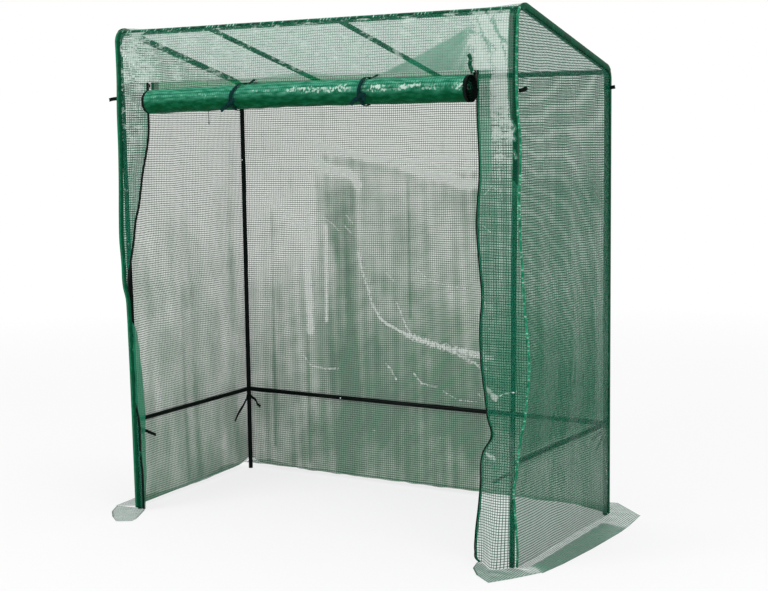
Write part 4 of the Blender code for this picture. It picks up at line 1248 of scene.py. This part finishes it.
dark_tape = tape_finish("tie_tape", (0.001, 0.020, 0.020), (0.006, 0.056, 0.054))
TIE_WIDTH = 0.0115
TIES = {
    "left": (DOOR_TIES[0], 0.020, 0.035, ((-0.012, -0.010), (-0.022, -0.016), (-0.032, -0.021)),
             ((0.009, 0.004), (0.017, 0.011), (0.024, 0.012))),
    "right": (DOOR_TIES[1], 0.006, 0.016, ((-0.009, -0.003), (-0.017, -0.010), (-0.023, -0.018)),
              ((0.012, 0.009), (0.026, 0.011), (0.021, -0.007))),
}
for where, (x, drift, start, first_end, second_end) in TIES.items():
    radius, height = ROLL_RADIUS + 0.0008, float(roll_height(x))
    around = [
        (x + drift * max(math.cos(a), 0.0), ROLL_Y - radius * math.sin(a), height + radius * math.cos(a))
        for a in np.linspace(-0.15, 2 * math.pi - 0.15, 17)
    ]
    knot = Vector((x - 0.001, ROLL_Y - radius - 0.002, height - 0.022))
    seam_point = (x + start, -END_FILM - 0.0034, DOOR_SEAM_HEIGHT - 0.003)
    top = height + radius
    rise = [(x + drift, ROLL_Y + 0.004, top), (x + (drift + start) / 2, ROLL_Y + 0.026, top), seam_point]
    left_end, right_end = (
        [knot, *(knot + Vector((aside, -0.004, up)) for aside, up in end)] for end in (first_end, second_end)
    )
    parts = [
        ribbon("loop", around, TIE_WIDTH, (1, 0, 0), dark_tape),
        ribbon("rise", rise, TIE_WIDTH, (1, 0, 0), dark_tape),
        ribbon("end_1", left_end, TIE_WIDTH, (0.2, 0, 1), dark_tape),
        ribbon("end_2", right_end, TIE_WIDTH, (-0.2, 0, 1), dark_tape),
        ribbon("wrap_1", [knot + Vector((-0.007, 0.002, 0.006)), knot + Vector((0, -0.006, 0.001)),
                          knot + Vector((0.007, 0.001, -0.006))], 0.009, (1, 0, 1), dark_tape, 0.002),
        ribbon("wrap_2", [knot + Vector((0.007, 0.002, 0.007)), knot + Vector((0.001, -0.0075, 0.0)),
                          knot + Vector((-0.007, 0.001, -0.007))], 0.008, (1, 0, -1), dark_tape, 0.002),
    ]
    tie = sew_on(joined(f"roll_tie_{where}", parts), "tape", f"door_tie_{where}")
    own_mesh(tie)


# Each zip has a die-cast slider, painted black, with a flat pull. It waits at the top of the zip,
# beside the end of the roll.
def slider_finish():
    finish = Finish("slider_paint")
    wear = finish.noise(finish.place(), 500.0, 4.0)
    return finish.feed(
        Base_Color=finish.mix(finish.span(wear, 0.55, 0.7), (0.008, 0.009, 0.009), (0.05, 0.05, 0.05)),
        Metallic=0.4,
        Roughness=finish.span(wear, 0.3, 0.7, 0.25, 0.5),
    )


slider_paint = slider_finish()
for where, x in (("left", -0.608), ("right", 0.623)):
    centre = Vector((x, -END_FILM - 0.00305, DOOR_SEAM_HEIGHT - 0.012))
    bm = bmesh.new()
    for size, place, soft in (
        ((0.0068, 0.0045, 0.0110), (0, 0, 0), 0.0011),
        ((0.0022, 0.0024, 0.0070), (0, -0.0028, 0.0005), 0.0007),
        ((0.0046, 0.0012, 0.0190), (0, -0.0042, -0.0105), 0.0005),
    ):
        block = bmesh.ops.create_cube(bm, size=1.0)["verts"]
        bmesh.ops.scale(bm, vec=size, verts=block)
        bmesh.ops.translate(bm, vec=centre + Vector(place), verts=block)
        edges = list({link for vert in block for link in vert.link_edges})
        bmesh.ops.bevel(bm, geom=edges, offset=soft, segments=3, affect="EDGES", profile=0.5, material=-1)
    mesh = bpy.data.meshes.new(f"slider_{where}_cast")
    bm.to_mesh(mesh)
    bm.free()
    mesh.shade_smooth()
    mesh.set_sharp_from_angle(angle=math.radians(35))
    mesh.materials.append(slider_paint)
    slider = placed(f"slider_{where}_cast", mesh)
    sew_on(slider, "tape", f"zip_slider_{where}", body=f"slider_{where}")


zip_tail = ribbon(
    "zip_tail_right",
    [(0.596, -0.3565, 1.524), (0.604, -0.3590, 1.508), (0.600, -0.3575, 1.494), (0.612, -0.3600, 1.468)],
    0.012, (1, 0, 0.3), front_seam, 0.0008, cell=0.002,
)
sew_on(zip_tail, "tape")


# Four short black tapes stick out of the upright corner seams near their tops. They are for a
# guy line or a stake, and stand out stiffly.
tabs = {
    "front_left": (-1, -1, 1.428, 0.044, -0.004),
    "front_right": (1, -1, 1.414, 0.026, 0.008),
    "rear_left": (-1, 1, 1.437, 0.022, 0.001),
    "rear_right": (1, 1, 1.437, 0.017, 0.002),
}
for where, (side, end, height, reach, tip) in tabs.items():
    stand = float(corner_film(side, height)) if end < 0 else SIDE_FILM
    start = Vector((side * (stand + 0.0018), end * HALF_DEPTH, height))
    points = [
        start + Vector((side * reach * share, -0.002 * math.sin(math.pi * share), tip * share * share))
        for share in (0, 0.35, 0.7, 1)
    ]
    tab = ribbon(f"stake_tab_{where}", points, 0.012, (0, 0, 1), woven_tape, cell=0.002)
    sew_on(tab, "tape", f"corner_tab_{where}")


# Inside, a tape is sewn into each corner and tied round its post just under the ring. It holds the
# cover down against the wind, and its ends hang loose.
INNER_TIE_HEIGHT = 0.285
inner_ends = {
    "rear_left": ((0.046, -0.003, -0.036), (0.004, -0.090, -0.080)),
    "rear_right": ((-0.034, -0.010, -0.030), (-0.006, -0.040, -0.050)),
    "front_left": ((0.004, 0.086, -0.040), (0.006, 0.012, -0.020)),
    "front_right": ((-0.056, 0.004, -0.034), (-0.006, 0.030, -0.050)),
}
for where, ends in inner_ends.items():
    side, front = -1 if where.endswith("left") else 1, where.startswith("front")
    stand = post_x(INNER_TIE_HEIGHT) if front else HALF_WIDTH
    axis = Vector((side * stand, -HALF_DEPTH if front else HALF_DEPTH, INNER_TIE_HEIGHT))
    around = [axis + Vector((0.0092 * math.cos(a), 0.0092 * math.sin(a), 0.0006 * math.sin(2 * a)))
              for a in np.linspace(0, 2 * math.pi, 13)]
    parts = [ribbon("loop", around, 0.010, (0, 0, 1), woven_tape, cell=0.002)]
    for number, end in enumerate(ends, 1):
        reach = Vector(end)
        away = Vector((end[0], end[1], 0)).normalized()
        sideways = Vector((-away.y, away.x, 0))
        start = axis + away * 0.0100
        points = [
            start, start + reach * 0.35 + away * 0.004 + sideways * 0.003,
            start + reach * 0.7 - sideways * 0.002, start + reach,
        ]
        parts.append(ribbon(f"end_{number}", points, 0.010, (0, 0, 1), woven_tape, 0.0016, cell=0.002))
    sew_on(joined(f"post_tie_{where}", parts), "tape", f"inner_tie_{where}")


# The floor is plain and pale, and keeps the greenhouse's shadow. It fades into the room's white
# away from the greenhouse, so that no edge shows.
def paper(nodes, strength):
    """Makes what the camera sees of a backdrop white, also in gloss and through clear things."""
    ray = nodes.outputs("LightPath")
    seen = nodes.math("ADD", ray["Is Camera Ray"], ray["Is Glossy Ray"])
    seen = nodes.math("ADD", seen, ray["Is Transmission Ray"], use_clamp=True)
    return nodes.node("MapRange", {0: seen, 3: strength[0], 4: strength[1]})


bm = bmesh.new()
bmesh.ops.create_circle(bm, cap_ends=True, segments=64, radius=14.0)
mesh = bpy.data.meshes.new("floor")
bm.to_mesh(mesh)
bm.free()
floor_finish = bpy.data.materials.new("pale_floor")
floor_finish.use_nodes = True
nodes = Nodes(floor_finish.node_tree)
nodes.tree.nodes.clear()
diffuse = nodes.node("BsdfDiffuse", {"Color": (0.90, 0.90, 0.90)})
far = nodes.node("VectorMath", {0: nodes.place()}, out="Value", operation="LENGTH")
fade = nodes.node("MapRange", enumerate((far, 1.4, 6.0, 0.74, 1.0)))
white = nodes.math("MULTIPLY", paper(nodes, (0.0, 1.0)), fade)
blend = nodes.node("MixShader", {0: white, 1: diffuse, 2: nodes.node("Emission")})
nodes.outputs("OutputMaterial", {0: blend})
mesh.materials.append(floor_finish)
floor = placed("floor", mesh)
floor.location.z = -0.0004


# The light is that of a plain studio: a pale room with three large soft lamps, the strongest high
# on the left, a weaker one on the right and one overhead.
world = bpy.data.worlds.new("room")
bpy.context.scene.world = world
world.use_nodes = True
background, nodes = world.node_tree.nodes["Background"], Nodes(world.node_tree)
nodes.put((1, 1, 1), background.inputs["Color"])
nodes.put(paper(nodes, (0.62, 1.0)), background.inputs["Strength"])
for name, place, aim, size, power in (
    ("key_lamp", (-2.2, -3.6, 3.6), (0.0, 0.0, 0.9), 2.0, 75.0),
    ("fill_lamp", (3.6, -1.6, 2.8), (0.3, 0.0, 0.8), 2.0, 40.0),
    ("top_lamp", (0.3, 0.6, 4.0), (0.0, 0.0, 1.2), 2.4, 45.0),
):
    lamp = placed(name, bpy.data.lights.new(name, "AREA"))
    lamp.data.size, lamp.data.energy = size, power
    lamp.location = place
    lamp.rotation_euler = (Vector(aim) - Vector(place)).to_track_quat("-Z", "Y").to_euler()
bpy.context.scene.view_settings.view_transform = "Standard"
